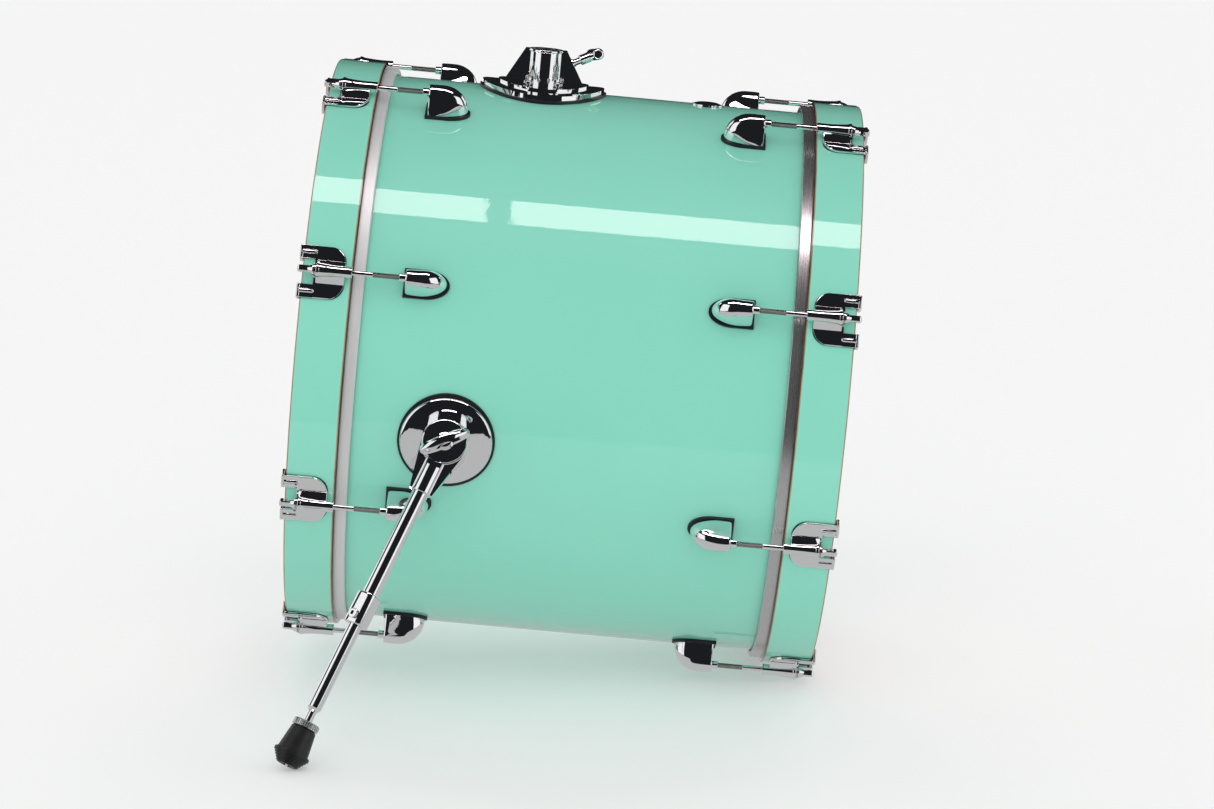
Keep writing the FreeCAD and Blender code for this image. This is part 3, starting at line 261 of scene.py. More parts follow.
def head_film(name, rough, grain_strength):
    """White drum-head film; a coated head has a sprayed grain."""
    shader = Shader(name)
    place = shader.position()
    cloud = shader.noise(place, scale=14.0, detail=4.0)
    shader.surface(Base_Color=shader.mix(cloud, (0.77, 0.77, 0.75), (0.86, 0.86, 0.84)),
                   Roughness=rough)
    shader.bump(shader.noise(place, scale=1600.0), strength=grain_strength, distance=0.0003)
    return shader.material


def reach_along(node, direction):
    """Lowest and highest distance of a node's points along a direction from the shell's middle."""
    points = [vert.co for vert in frame["nodes"][node].data.vertices]
    spans = [(point - SHELL_MIDDLE).dot(direction) for point in points]
    return min(spans), max(spans)


HOOP_LOW, HOOP_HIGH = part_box("front_hoop")
HOOP_RADIUS = (HOOP_HIGH.y - HOOP_LOW.y) / 2
HOOP_INNER_X, HOOP_OUTER_X = reach_along("front_hoop", DRUM_AXIS)

LACQUER = teal_lacquer()
HOOP_FINISH = hoop_lacquer()
CHROME = metal("chrome", (0.90, 0.905, 0.91), 0.012, 0.035)
STEEL = metal("plated_steel", (0.62, 0.62, 0.61), 0.16, 0.30)
THREAD = metal("oiled_thread", (0.30, 0.29, 0.28), 0.22, 0.38)
KNURLED = metal("knurled_nickel", (0.70, 0.70, 0.69), 0.14, 0.24)
ALUMINIUM = satin_aluminium("satin_aluminium", shade=0.72, metallic=0.35, roughness=0.45)
# painted shade: the batter flesh hoop's copy of the same satin aluminium, darker and more mirror-like
SHADED_ALUMINIUM = satin_aluminium("shaded_aluminium", shade=0.60, metallic=0.90, roughness=0.27)
RUBBER = rubber()
NYLON = nylon()
COATED_FILM = head_film("coated_film", rough=0.55, grain_strength=0.35)
GLOSS_FILM = head_film("gloss_film", rough=0.22, grain_strength=0.05)

# the batter flesh hoop takes the darker aluminium copy, which is painted shade
SPECIAL = {"shell": LACQUER, "front_hoop": HOOP_FINISH, "batter_hoop": HOOP_FINISH,
           "batter_head": COATED_FILM, "front_head": GLOSS_FILM,
           "batter_flesh_hoop": SHADED_ALUMINIUM}
BY_SLOT = {"chrome": CHROME, "plated_steel": STEEL, "satin_aluminium": ALUMINIUM,
           "drum_head_film": COATED_FILM, "black_rubber": RUBBER, "black_nylon": NYLON,
           "knurled_steel": KNURLED, "teal_lacquered_wood": LACQUER}
NODE_SLOT = {part["node"]: part["material_slot"] for part in frame["record"]["subparts"]}


def dress_frame():
    """Gives every carried-over CAD node its material."""
    for name, node in frame["nodes"].items():
        finish = SPECIAL.get(name) or BY_SLOT[NODE_SLOT[name]]
        node.data.materials.clear()
        node.data.materials.append(finish)


dress_frame()


# ---- finer meshes for the fittings -----------------------------------------------------------
# Their sizes are in millimetres. A fitting on the shell has x out along the drum from its
# middle, y round it and z away from its axis.
MM = 0.001
WELD = 0.002                    # points closer than this are one
X_AXIS, Z_AXIS = Vector((1, 0, 0)), Vector((0, 0, 1))
ROD_RADIUS = 301.4              # of the rods' circle about the drum's axis
HOOP_TOP = 291.8                # underside of a claw, from the drum's axis
CLAW_TOP = 294.4
FITTING_ANGLES = [math.radians(22.5 + 45.0 * step) for step in range(8)]


class Form:
    """A piece's mesh in its own millimetres."""

    def __init__(self):
        self.mesh = bmesh.new()

    def skin(self, rows, fill_ends=True):
        """Quads between closed rows of points, with the end rows filled."""
        made = [[self.mesh.verts.new(place) for place in row] for row in rows]
        count = len(made[0])
        for low, high in zip(made, made[1:]):
            for k in range(count):
                after = (k + 1) % count
                self.mesh.faces.new((low[k], low[after], high[after], high[k]))
        if fill_ends:
            self.mesh.faces.new(made[0][::-1])
            self.mesh.faces.new(made[-1])
        return [vert for row in made for vert in row]

    def lathe(self, profile, start=Vector(), axis=X_AXIS, segments=28):
        """Turns (along, radius) points about an axis."""
        first = axis.orthogonal().normalized()
        second = axis.cross(first)
        turns = [2 * math.pi * k / segments for k in range(segments)]
        spokes = [first * math.cos(turn) + second * math.sin(turn) for turn in turns]
        return self.skin([[start + axis * along + spoke * radius for spoke in spokes]
                          for along, radius in profile])

    def block(self, low, high, ease, segments=3):
        """A box with rounded edges."""
        low, high = Vector(low), Vector(high)
        size = Matrix.Diagonal((*(high - low), 1.0))
        made = bmesh.ops.create_cube(self.mesh, size=1.0,
                                     matrix=Matrix.Translation((low + high) / 2) @ size)
        edges = list(dict.fromkeys(edge for vert in made["verts"] for edge in vert.link_edges))
        bmesh.ops.bevel(self.mesh, geom=edges, offset=ease, segments=segments, profile=0.5,
                        affect="EDGES")

    def weld(self):
        """Joins points that lie on each other."""
        bmesh.ops.remove_doubles(self.mesh, verts=self.mesh.verts, dist=WELD)

    def bend(self):
        """Wraps what was made flat round the drum."""
        for vert in self.mesh.verts:
            turn = vert.co.y / HOOP_TOP
            vert.co.y, vert.co.z = vert.co.z * math.sin(turn), vert.co.z * math.cos(turn)

    def piece(self, name, matrices, body, replaced, finish, sharp):
        """One object with the form at each place, riding on a body in place of CAD nodes."""
        bmesh.ops.recalc_face_normals(self.mesh, faces=self.mesh.faces)
        single = bpy.data.meshes.new(name)
        self.mesh.to_mesh(single)
        whole = bmesh.new()
        for matrix in matrices:
            placed = single.copy()
            placed.transform(matrix)
            whole.from_mesh(placed)
            bpy.data.meshes.remove(placed)
        whole.to_mesh(single)
        whole.free()
        single.polygons.foreach_set("use_smooth", [True] * len(single.polygons))
        single.set_sharp_from_angle(angle=math.radians(sharp))
        for material in finish:
            single.materials.append(material)
        made = bpy.data.objects.new(name, single)
        scene.collection.objects.link(made)
        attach(made, body)
        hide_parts(*replaced)


def both_sides(x, half):
    """A row at x from the (y, z) points of its +y half, which ends on the middle line."""
    return ([Vector((x, y, z)) for y, z in half]
            + [Vector((x, -y, z)) for y, z in half[-2::-1]])


def to_place(origin, x_axis, z_axis):
    """From a form's millimetres to the drum, by its origin and two of its axes."""
    axes = Matrix((x_axis, z_axis.cross(x_axis), z_axis)).transposed().to_4x4()
    matrix = axes @ Matrix.Scale(MM, 4)
    matrix.translation = origin
    return matrix


def fitting_matrix(end, angle):
    """Place of a fitting at one end and one angle of the drum."""
    radial = DRUM_UP * math.cos(angle) + ACROSS * math.sin(angle)
    return to_place(SHELL_MIDDLE, DRUM_AXIS * end, radial)


def ring_places():
    """The sixteen places of a fitting: eight at each end."""
    return [fitting_matrix(end, angle) for end in (1, -1) for angle in FITTING_ANGLES]


# ---- lugs ------------------------------------------------------------------------------------
LUG_BASE = 282.4
LUG_FACE = 168.0                # its flat end, which the rod goes into
LUG_LENGTH = 40.0
LUG_HALF_WIDTH = 13.5
LUG_HEIGHT = 27.3
LUG_CREST = 158.0
LUG_CREST_FALL = 0.4            # from the crest to the flat end
LUG_NOSE = 30.0                 # length of the domed nose
LUG_NOSE_POWER = 2.4
LUG_DOME_POWER, LUG_DOME_ROUND = 2.5, 0.4
LUG_BARREL, LUG_BARREL_FLARE = 8.3, 0.05
LUG_FOOT, LUG_FOOT_FLARE = 13.1, 0.07
LUG_BLEND = 0.6                 # round where dome and flank cross
LUG_FACE_EASE = ((0.0, 0.93), (0.12, 0.965), (0.5, 0.99))   # depth behind the face, scale
LUG_STATIONS = 30
LUG_STEPS = 18


def smooth_least(first, second, blend):
    """The lesser of two lengths, with a small round where they cross."""
    least = min(first, second)
    spill = math.exp((least - first) / blend) + math.exp((least - second) / blend)
    return max(0.0, least - blend * math.log(spill))


def lug_half_section(x, scale):
    """(y, z) points of a lug's section from its base to its crest."""
    nose = math.sqrt(1 - min(1.0, max(0.0, LUG_CREST - x) / LUG_NOSE) ** LUG_NOSE_POWER)
    past_crest = max(0.0, x - LUG_CREST) / (LUG_FACE - LUG_CREST)
    width = LUG_HALF_WIDTH * nose
    height = LUG_HEIGHT * nose - LUG_CREST_FALL * past_crest ** 2
    back = LUG_FACE - x
    barrel = LUG_BARREL + LUG_BARREL_FLARE * back
    foot = LUG_FOOT + LUG_FOOT_FLARE * back
    points = []
    for step in range(LUG_STEPS + 1):
        t = math.sin(step / LUG_STEPS * math.pi / 2)
        z = LUG_BASE + t * height
        dome = width * max(0.0, 1 - t ** LUG_DOME_POWER) ** LUG_DOME_ROUND
        rise = (z - LUG_BASE) / (ROD_RADIUS - LUG_BASE)
        if rise < 1:
            flank = foot * (1 - rise) + barrel * rise
        else:
            flank = barrel * math.sqrt(max(0.0, 1 - ((z - ROD_RADIUS) / LUG_BARREL) ** 2))
        points.append((smooth_least(dome, flank, LUG_BLEND) * scale,
                       LUG_BASE + (z - LUG_BASE) * (1 + scale) / 2))
    return points


def lugs():
    """Bullet-shaped castings: a domed nose, a raised barrel, and flanks that flare to the base."""
    cuts = [(LUG_FACE - depth, scale) for depth, scale in LUG_FACE_EASE]
    for step in range(1, LUG_STATIONS):
        cuts.append((LUG_FACE - LUG_LENGTH * (1 - (1 - step / LUG_STATIONS) ** 2), 1.0))
    form = Form()
    form.skin([both_sides(x, lug_half_section(x, scale)) for x, scale in cuts])
    form.weld()
    form.piece("lug_castings", ring_places(), "root", ["lugs"], [CHROME], sharp=40.0)


lugs()


# ---- claws -----------------------------------------------------------------------------------
CLAW_HALF = 26.0
CLAW_FLAT_HALF, CLAW_EDGE_FALL = 25.2, 1.1  # where the side edges start to fall, and how fast
CLAW_CORNER = 15.5              # rounding of the nose's corners along the drum
CLAW_CORNER_ACROSS = 19.0
CLAW_NOSE = 226.5
CLAW_NOSE_RIM = ((0.0, 0.7), (0.2, 0.2), (0.7, 0.0), (1.6, 0.0))    # past the outline, fall
CLAW_SEAT = 254.5               # where the rod's washer sits
CLAW_SLOT = 256.7               # floor of the slot between the two arms
CLAW_SLOT_HALF = 12.6
CLAW_SLOT_EASED = 12.0          # half width over which the slot's edge is rounded
CLAW_SLOT_RIM = ((1.4, 0.0), (0.5, 0.0), (0.1, 0.1), (0.0, 0.4))    # before the slot, fall
CLAW_LIP = 269.4
CLAW_HOOK = 280.7
CLAW_ARM_EASE, CLAW_CAP_EASE = 0.5, 1.2
CLAW_CAP = 2.7                  # thickness of an end cap past the lip
CLAW_CAP_PROUD, CLAW_CAP_RISE = 0.2, 0.6    # beside and above its arm
CLAW_ARM_OVERLAP, CLAW_CAP_OVERLAP = 1.0, 0.6
CLAW_RIB_ACROSS = 19.3
CLAW_RIB_START = CLAW_LIP - 14.4
CLAW_RIB_SUNK = 0.7
CLAW_RIB = ((0.0, 0.3), (0.15, 1.1), (0.7, 1.75), (1.8, 2.1), (14.6, 2.1), (15.0, 1.9),
            (15.2, 1.4))
CLAW_SADDLE_HALF, CLAW_SADDLE_TOP_HALF = 11.6, 4.6
CLAW_SADDLE_NOSE = ((0.4, 0.8), (0.6, 0.25), (1.2, 0.0))    # past the nose, inset
CLAW_SADDLE_SEAT = ((0.6, 0.0), (0.15, 0.25), (0.0, 0.8))   # before the seat, inset
CLAW_WEB_HALF, CLAW_WEB_EASE = 3.8, 0.8
BARREL_START, BARREL_END = 219.6, 254.5
BARREL_WAIST, BARREL_WAIST_AT = 5.45, 230.0
BARREL_SWELL, BARREL_SWELL_OVER = 1.25, 20.0
BARREL_MOUTH = 3.3
# half widths where the plate is cut, close together where its outline turns
CLAW_CUTS = (26.0, 25.8, 25.3, 24.4, 23.0, 21.0, 18.6, 16.0, 13.6, 11.0, 6.0, 2.0)


def claw_nose(y):
    """Inner end of the plate's rounded outline."""
    inset = max(0.0, abs(y) - (CLAW_HALF - CLAW_CORNER_ACROSS)) / CLAW_CORNER_ACROSS
    return CLAW_NOSE + CLAW_CORNER * (1 - math.sqrt(max(0.0, 1 - inset ** 2)))


def claw_plate(form):
    """Flat plate with a rounded nose, eased all round."""
    rows = []
    for y in (*CLAW_CUTS, *(-cut for cut in reversed(CLAW_CUTS))):
        x = claw_nose(y)
        top = CLAW_TOP - max(0.0, abs(y) - CLAW_FLAT_HALF) ** 2 * CLAW_EDGE_FALL
        eased = abs(y) < CLAW_SLOT_EASED
        row = [(x, y, HOOP_TOP)]
        row += [(x + past, y, top - fall) for past, fall in CLAW_NOSE_RIM]
        row += [(CLAW_SLOT - before, y, top - fall * eased) for before, fall in CLAW_SLOT_RIM]
        row.append((CLAW_SLOT, y, HOOP_TOP))
        rows.append([Vector(place) for place in row])
    form.skin(rows)


def claw_ears(form):
    """Two arms that reach over the hoop's edge, each with a rib and a hooked end cap."""
    for side in (1, -1):
        near, far = sorted((side * CLAW_SLOT_HALF, side * CLAW_HALF))
        form.block((CLAW_SLOT - CLAW_ARM_OVERLAP, near, HOOP_TOP), (CLAW_LIP, far, CLAW_TOP),
                   CLAW_ARM_EASE)
        form.block((CLAW_LIP - CLAW_CAP_OVERLAP, near - CLAW_CAP_PROUD, CLAW_HOOK),
                   (CLAW_LIP + CLAW_CAP, far + CLAW_CAP_PROUD, CLAW_TOP + CLAW_CAP_RISE),
                   CLAW_CAP_EASE, segments=4)
        rib_start = Vector((CLAW_RIB_START, side * CLAW_RIB_ACROSS, CLAW_TOP - CLAW_RIB_SUNK))
        form.lathe(CLAW_RIB, rib_start, segments=20)


def claw_saddle(form):
    """Raised saddle with sloping sides under the barrel, and the web between them."""
    low_half, top_half = CLAW_SADDLE_HALF, CLAW_SADDLE_TOP_HALF
    half = [(-low_half, -0.6), (-low_half, 0.3), (-low_half + 0.25, 0.75),
            (-low_half + 0.8, 1.3), (-top_half, 6.3), (-top_half + 0.6, 6.6)]
    section = half + [(-y, rise) for y, rise in reversed(half)]
    stations = [(CLAW_NOSE + past, inset) for past, inset in CLAW_SADDLE_NOSE]
    stations += [(CLAW_SEAT - before, inset) for before, inset in CLAW_SADDLE_SEAT]
    rows = []
    for x, inset in stations:
        narrow = 1 - inset / CLAW_SADDLE_HALF
        rows.append([Vector((x, y * narrow, CLAW_TOP + rise - inset * (rise > 0)))
                     for y, rise in section])
    form.skin(rows)
    form.block((CLAW_NOSE - 3.0, -CLAW_WEB_HALF, CLAW_TOP + 2.0),
               (CLAW_SEAT - 0.2, CLAW_WEB_HALF, ROD_RADIUS), CLAW_WEB_EASE)


def claw_barrel(form):
    """Waisted barrel for the rod, with a rolled rim at both ends."""
    start, end = BARREL_START, BARREL_END
    barrel = [(start, BARREL_MOUTH), (start, 5.0), (start + 0.3, 5.5), (start + 1.0, 5.7),
              (start + 2.0, 5.6)]
    for step in range(9):
        x = start + 2.8 + step * 3.5
        swell = BARREL_SWELL * ((x - BARREL_WAIST_AT) / BARREL_SWELL_OVER) ** 2
        barrel.append((x, BARREL_WAIST + swell))
    barrel += [(end - 3.1, 7.1), (end - 2.5, 7.5), (end - 0.7, 7.5), (end - 0.2, 7.3),
               (end, 6.8), (end, BARREL_MOUTH)]
    form.lathe(barrel, Vector((0, 0, ROD_RADIUS)), segments=32)


def claws():
    """Die-cast claw hooks."""
    form = Form()
    claw_plate(form)
    claw_ears(form)
    form.bend()
    claw_saddle(form)
    claw_barrel(form)
    form.piece("claw_castings", ring_places(), "root", ["claws"], [CHROME], sharp=35.0)


claws()


# ---- tension rods ----------------------------------------------------------------------------
THREAD_START, THREAD_END = 172.0, 199.6
THREAD_PITCH = 1.06
THREAD_SIDES = 16
THREAD_RINGS = 5                # per turn
THREAD_ROOT, THREAD_DEPTH = 2.30, 0.40
ROD_SHANK = 2.6
COLLAR_START, COLLAR_RADIUS = 255.9, 5.6
HEAD_START, HEAD_HALF = 261.0, 3.15
HEAD_LEAN = 0.16                # half angle of the flat that eases each corner
HEAD_EASE = ((0.0, 1.0), (9.6, 1.0), (10.6, 0.9), (11.2, 0.72), (11.4, 0.5))    # x, scale


def rod_thread(form):
    """Real helical thread, with the second material."""
    rows = []
    count = int((THREAD_END - THREAD_START) / THREAD_PITCH * THREAD_RINGS)
    for ring in range(count + 1):
        x = THREAD_START + ring * THREAD_PITCH / THREAD_RINGS
        row = []
        for side in range(THREAD_SIDES):
            turn = side / THREAD_SIDES
            phase = (ring / THREAD_RINGS - turn) % 1.0
            radius = THREAD_ROOT + THREAD_DEPTH * (1 - abs(2 * phase - 1))
            angle = 2 * math.pi * turn
            row.append(Vector((x, radius * math.cos(angle), ROD_RADIUS + radius * math.sin(angle))))
        rows.append(row)
    form.skin(rows)
    for face in form.mesh.faces:
        face.material_index = 1


def rod_head(form):
    """Eased square head."""
    rows = []
    for along, grow in HEAD_EASE:
        row = []
        for corner in range(4):
            for lean in (-HEAD_LEAN, HEAD_LEAN):
                angle = math.pi / 4 + corner * math.pi / 2 + lean
                reach = HEAD_HALF * grow / max(abs(math.cos(angle)), abs(math.sin(angle)))
                row.append(Vector((HEAD_START + along, reach * math.cos(angle),
                                   ROD_RADIUS + reach * math.sin(angle))))
        rows.append(row)
    form.skin(rows)


def rod_form():
    """Key rod: thread, shank, coned collar and head."""
    form = Form()
    rod_thread(form)
    start = Vector((0, 0, ROD_RADIUS))
    shank_start, shank_end = THREAD_END + 0.4, 256.0
    form.lathe([(shank_start - 0.8, 2.2), (shank_start - 0.4, 2.5), (shank_start, ROD_SHANK),
                (shank_end, ROD_SHANK)], start, segments=24)
    collar = ((0.0, ROD_SHANK), (0.4, 5.2), (0.7, COLLAR_RADIUS), (1.7, COLLAR_RADIUS),
              (2.1, 5.45), (5.9, 3.7), (6.3, 3.45), (6.7, 3.3))
    form.lathe([(COLLAR_START + along, radius) for along, radius in collar], start)
    rod_head(form)
    return form


def rods():
    """All sixteen rods, each on its own body."""
    for end, name in ((1, "front"), (-1, "batter")):
        for number, angle in enumerate(FITTING_ANGLES, start=1):
            node = f"{name}_rod_{number}"
            rod_form().piece(f"{name}_key_rod_{number}", [fitting_matrix(end, angle)],
                             JOINTS[node + "_turn"]["child"], [node], [CHROME, THREAD],
                             sharp=30.0)


rods()


# ---- spur wing screws ------------------------------------------------------------------------
# A spur's forms have their origin at its hub and z out along the hub's axis.
SIDES = ((1, "left"), (-1, "right"))
WING_TURN = math.radians(138.0)             # from the leg's direction
WING_HALF = 25.5
WING_LOW = 7.55
WING_STEPS = 24
WING_CREST, WING_CREST_FALL = 14.6, 8.6     # above the flange's underside
WING_BOTTOM = 2.6
WING_TIP_TOP, WING_TOP_SWELL = 0.35, 3.2    # half thickness at a tip, and more in the middle
WING_TIP_WAIST, WING_WAIST_SWELL = 0.9, 4.6
WING_TIP_FOOT, WING_FOOT_SWELL = 1.5, 6.0
WING_SWELL_POWER = 0.7
WING_STUD, WING_STUD_END = 4.0, -26.0
FLANGE = ((0.0, 4.1), (0.0, 20.4), (0.5, 21.2), (2.2, 21.4), (2.9, 21.1), (3.2, 20.3),
          (3.2, 4.0))                       # height, radius
HUB_DOME = ((2.6, 9.4), (4.2, 8.6), (7.0, 8.0), (8.8, 7.0), (9.6, 5.0), (9.8, 2.0))


def spur_frame(side):
    """A spur's hub, the direction down its leg and the hub's outward axis."""
    name = dict(SIDES)[side]
    wing_joint = JOINTS[name + "_wing_turn"]
    return (Vector(wing_joint["pos_m"]),
            Vector(JOINTS[name + "_leg_slide"]["axis"]).normalized(),
            Vector(wing_joint["axis"]).normalized())


def wing_matrix(side):
    """Place of a wing screw, which has x along its wing."""
    hub, leg, out = spur_frame(side)
    wing = leg * math.cos(WING_TURN) + out.cross(leg) * (side * math.sin(WING_TURN))
    return to_place(hub, wing, out)


def wing_half_section(station):
    """(y, z) points of the wing's section from foot to crest; its tips are at -1 and 1."""
    swell = math.sqrt(max(0.0, 1 - station * station))
    flank_swell = swell ** WING_SWELL_POWER
    crest = WING_LOW + WING_CREST - WING_CREST_FALL * station * station
    top = WING_TIP_TOP + WING_TOP_SWELL * swell
    waist = WING_TIP_WAIST + WING_WAIST_SWELL * flank_swell
    foot = WING_TIP_FOOT + WING_FOOT_SWELL * flank_swell
    low = WING_LOW + WING_BOTTOM + 0.4 * abs(station)
    return [(foot, low), (waist, low + 1.6), (top + 0.5, crest - 1.4 - 1.6 * swell),
            (top, crest - 0.9), (top * 0.55, crest - 0.25), (0.0, crest)]


def wing_form():
    """Cast wing screw: eased round flange, and a wing with a lens-shaped arched top."""
    form = Form()
    form.lathe([(WING_LOW + height, radius) for height, radius in FLANGE], axis=Z_AXIS,
               segments=72)
    stations = [-1 + 2 * step / WING_STEPS for step in range(WING_STEPS + 1)]
    form.skin([both_sides(WING_HALF * station, wing_half_section(station))
               for station in stations])
    form.lathe([(WING_LOW + height, radius) for height, radius in HUB_DOME], axis=Z_AXIS,
               segments=40)
    form.lathe([(WING_STUD_END, WING_STUD - 0.8), (WING_STUD_END + 0.6, WING_STUD),
                (WING_LOW + 0.5, WING_STUD)], axis=Z_AXIS)
    return form


def wing_screws():
    """Both wing screws, each on its own body."""
    for side, name in SIDES:
        wing_form().piece(name + "_wing_casting", [wing_matrix(side)],
                          JOINTS[name + "_wing_turn"]["child"], [name + "_spur_wing_screw"],
                          [CHROME], sharp=28.0)


wing_screws()


# ---- spur plates -----------------------------------------------------------------------------
SPUR_PLATE_X = 116.0
SPUR_PLATE_ANGLE = math.radians(98.3)
PLATE_LOW, PLATE_HIGH = 282.05, 286.2
PLATE_RADIUS = 45.4
PLATE_SIDES = 96
PLATE_RIM = ((3.6, 0.0), (2.6, 0.15), (1.5, 0.7), (0.6, 1.6), (0.1, 2.7), (0.0, 3.5))
BOSS_RADIUS = 20.5
BOSS_LOW, BOSS_HIGH = -34.0, -8.6           # along the hub's axis
BOSS_BORE = 4.1


def plate_matrix(side):
    """Where a spur plate sits on the shell."""
    return fitting_matrix(1, side * SPUR_PLATE_ANGLE)


def plate_form(side):
    """Saddle plate with a rounded rim, and the canted boss that carries the turning socket."""
    form = Form()
    profile = [(radius, PLATE_HIGH) for radius in (1.0, 20.0, 38.0)]
    profile += [(PLATE_RADIUS - inset, PLATE_HIGH - fall) for inset, fall in PLATE_RIM]
    profile += [(PLATE_RADIUS, PLATE_LOW), (1.0, PLATE_LOW)]
    turns = [2 * math.pi * k / PLATE_SIDES for k in range(PLATE_SIDES)]
    form.skin([[Vector((SPUR_PLATE_X + radius * math.cos(turn), radius * math.sin(turn), height))
                for turn in turns] for radius, height in profile])
    form.bend()
    boss = form.lathe([(BOSS_LOW, BOSS_RADIUS), (BOSS_HIGH - 2.0, BOSS_RADIUS),
                       (BOSS_HIGH - 0.8, BOSS_RADIUS - 0.3), (BOSS_HIGH - 0.1, BOSS_RADIUS - 1.2),
                       (BOSS_HIGH, BOSS_RADIUS - 3.5), (BOSS_HIGH, BOSS_BORE)],
                      axis=Z_AXIS, segments=72)
    shift = plate_matrix(side).inverted() @ wing_matrix(side)
    for vert in boss:
        vert.co = shift @ vert.co
    return form


def spur_plates():
    """Both spur plates, fixed to the shell."""
    for side, name in SIDES:
        plate_form(side).piece(name + "_spur_casting", [plate_matrix(side)], "root",
                               [name + "_spur_base"], [CHROME], sharp=30.0)


spur_plates()


# ---- spur clamps -----------------------------------------------------------------------------
CLAMP_START, CLAMP_END = 164.0, 196.5       # along the leg from the hub
CLAMP_REACH = 10.7
CLAMP_ROLL = math.radians(28.0)             # about the leg, from the hub's outward axis
CLAMP_TURNS = 64
CLAMP_SQUARENESS = 3.0                      # 2 is round
CLAMP_SLIT = math.radians(4.2)              # half angle of the slit at its back
TUBE_BORE, ROD_BORE = 8.3, 6.95
CLAMP_TOP_EASE = ((0.0, 0.90), (0.25, 0.955), (0.9, 0.99), (2.0, 1.0))  # depth, scale
CLAMP_LOW_EASE = ((2.4, 1.0), (1.0, 0.985), (0.3, 0.95), (0.0, 0.89))


def around(x, reach, turn):
    """A point at a distance and an angle about the leg."""
    return Vector((x, reach * math.cos(turn), reach * math.sin(turn)))


def clamp_ring(x, scale=1.0, bore=None):
    """Closed row of the clamp: a rounded square with the slit at its back, or its bore."""
    back = -math.pi / 2
    row = []
    for step in range(CLAMP_TURNS):
        turn = CLAMP_SLIT + back + 2 * (math.pi - CLAMP_SLIT) * step / (CLAMP_TURNS - 1)
        corner = (abs(math.cos(turn)) ** CLAMP_SQUARENESS
                  + abs(math.sin(turn)) ** CLAMP_SQUARENESS) ** (-1 / CLAMP_SQUARENESS)
        row.append(around(x, bore or CLAMP_REACH * scale * corner, turn))
    slit_floor = bore or TUBE_BORE + 0.4
    row += [around(x, slit_floor, back - CLAMP_SLIT), around(x, slit_floor, back + CLAMP_SLIT)]
    return row


def clamp_form():
    """Cast clamp: pillowed block with eased ends round the tube and the rod."""
    form = Form()
    start, end = CLAMP_START, CLAMP_END
    rows = [clamp_ring(start + depth, scale) for depth, scale in CLAMP_TOP_EASE]
    rows += [clamp_ring(end - depth, scale) for depth, scale in CLAMP_LOW_EASE]
    rows += [clamp_ring(end, bore=ROD_BORE), clamp_ring(end - 2.0, bore=ROD_BORE),
             clamp_ring(end - 2.4, bore=TUBE_BORE), clamp_ring(start, bore=TUBE_BORE)]
    form.skin(rows + rows[:1], fill_ends=False)
    form.weld()
    return form


def clamp_matrix(side):
    """Place of a clamp, which has x down the leg."""
    return to_place(*spur_frame(side)) @ Matrix.Rotation(side * CLAMP_ROLL, 4, "X")


def spur_clamps():
    """Both spur clamps, each on its leg."""
    for side, name in SIDES:
        clamp_form().piece(name + "_clamp_casting", [clamp_matrix(side)],
                           JOINTS[name + "_leg_fold"]["child"], [name + "_spur_clamp"],
                           [CHROME], sharp=40.0)


spur_clamps()


# ---- studio ----------------------------------------------------------------------------------
CAMERA_AZIMUTH = 180.63
CAMERA_ELEVATION = 10.28
CAMERA_DISTANCE = 4.009
CAMERA_TARGET = Vector((-0.0338, 0.0, 0.2706))
CAMERA_LENS = 114.3
CAMERA_SENSOR = 36.0
CAMERA_SIGHT = 100.0
SOFTBOX_HEIGHT = 1.815
SOFTBOX_WIDTH = 0.32
SOFTBOX_LENGTH = 0.80
SOFTBOX_GAP = 0.034
SOFTBOX_MIDDLE = -0.014
SOFTBOX_OUT = 0.64
SOFTBOX_RADIANCE = 7.4
SOFTBOX_COLOUR = (1.0, 0.86, 0.89)
PANEL_TURN = math.radians(57.0)
PANEL_DISTANCE = 2.0
PANEL_WIDTH = 1.5
PANEL_TALL = {1: 2.1, -1: 1.5}              # at the front end and the batter end
PANEL_RADIANCE = 0.95
FILL_SUNS = ((180, 32, 1.15), (0, 32, 1.15), (90, 12, 0.7), (270, 12, 0.7))
FILL_WIDTH = math.radians(70.0)
FLOOR_HALF, FLOOR_SHADE, FLOOR_GLOW = 30.0, 0.66, 0.30
TABLE_HALF_X, TABLE_HALF_Y, TABLE_SHADE = 1.3, 1.0, 0.82
TABLE_LOW = -0.002
ROOM_FILL = 0.45
ROOM_REFLECTED = (0.012, 0.013, 0.015, 1)


def direction_to(azimuth, elevation):
    """Unit vector towards a compass direction and height in degrees."""
    turn, rise = math.radians(azimuth), math.radians(elevation)
    return Vector((math.sin(turn) * math.cos(rise), -math.cos(turn) * math.cos(rise),
                   math.sin(rise)))


def make_camera():
    """Camera at the viewing angle of a studio product picture of the drum's side."""
    camera = bpy.data.objects.new("camera", bpy.data.cameras.new("camera"))
    scene.collection.objects.link(camera)
    back = direction_to(CAMERA_AZIMUTH, CAMERA_ELEVATION)
    camera.location = CAMERA_TARGET + back * CAMERA_DISTANCE
    camera.rotation_mode = "QUATERNION"
    camera.rotation_quaternion = (-back).to_track_quat("-Z", "Y")
    camera.data.sensor_width = CAMERA_SENSOR
    camera.data.lens = CAMERA_LENS
    camera.data.clip_end = CAMERA_SIGHT
    scene.camera = camera


def reflection_lamp(name, place, size, radiance):
    """A rectangular lamp facing down that shows in gloss but adds no light to matt surfaces."""
    light = bpy.data.lights.new(name, "AREA")
    light.shape = "RECTANGLE"
    light.size, light.size_y = size
    light.energy = radiance * math.pi * size[0] * size[1]
    lamp = bpy.data.objects.new(name, light)
    lamp.location = place
    lamp.visible_diffuse = False
    lamp.visible_camera = False
    scene.collection.objects.link(lamp)
    return lamp


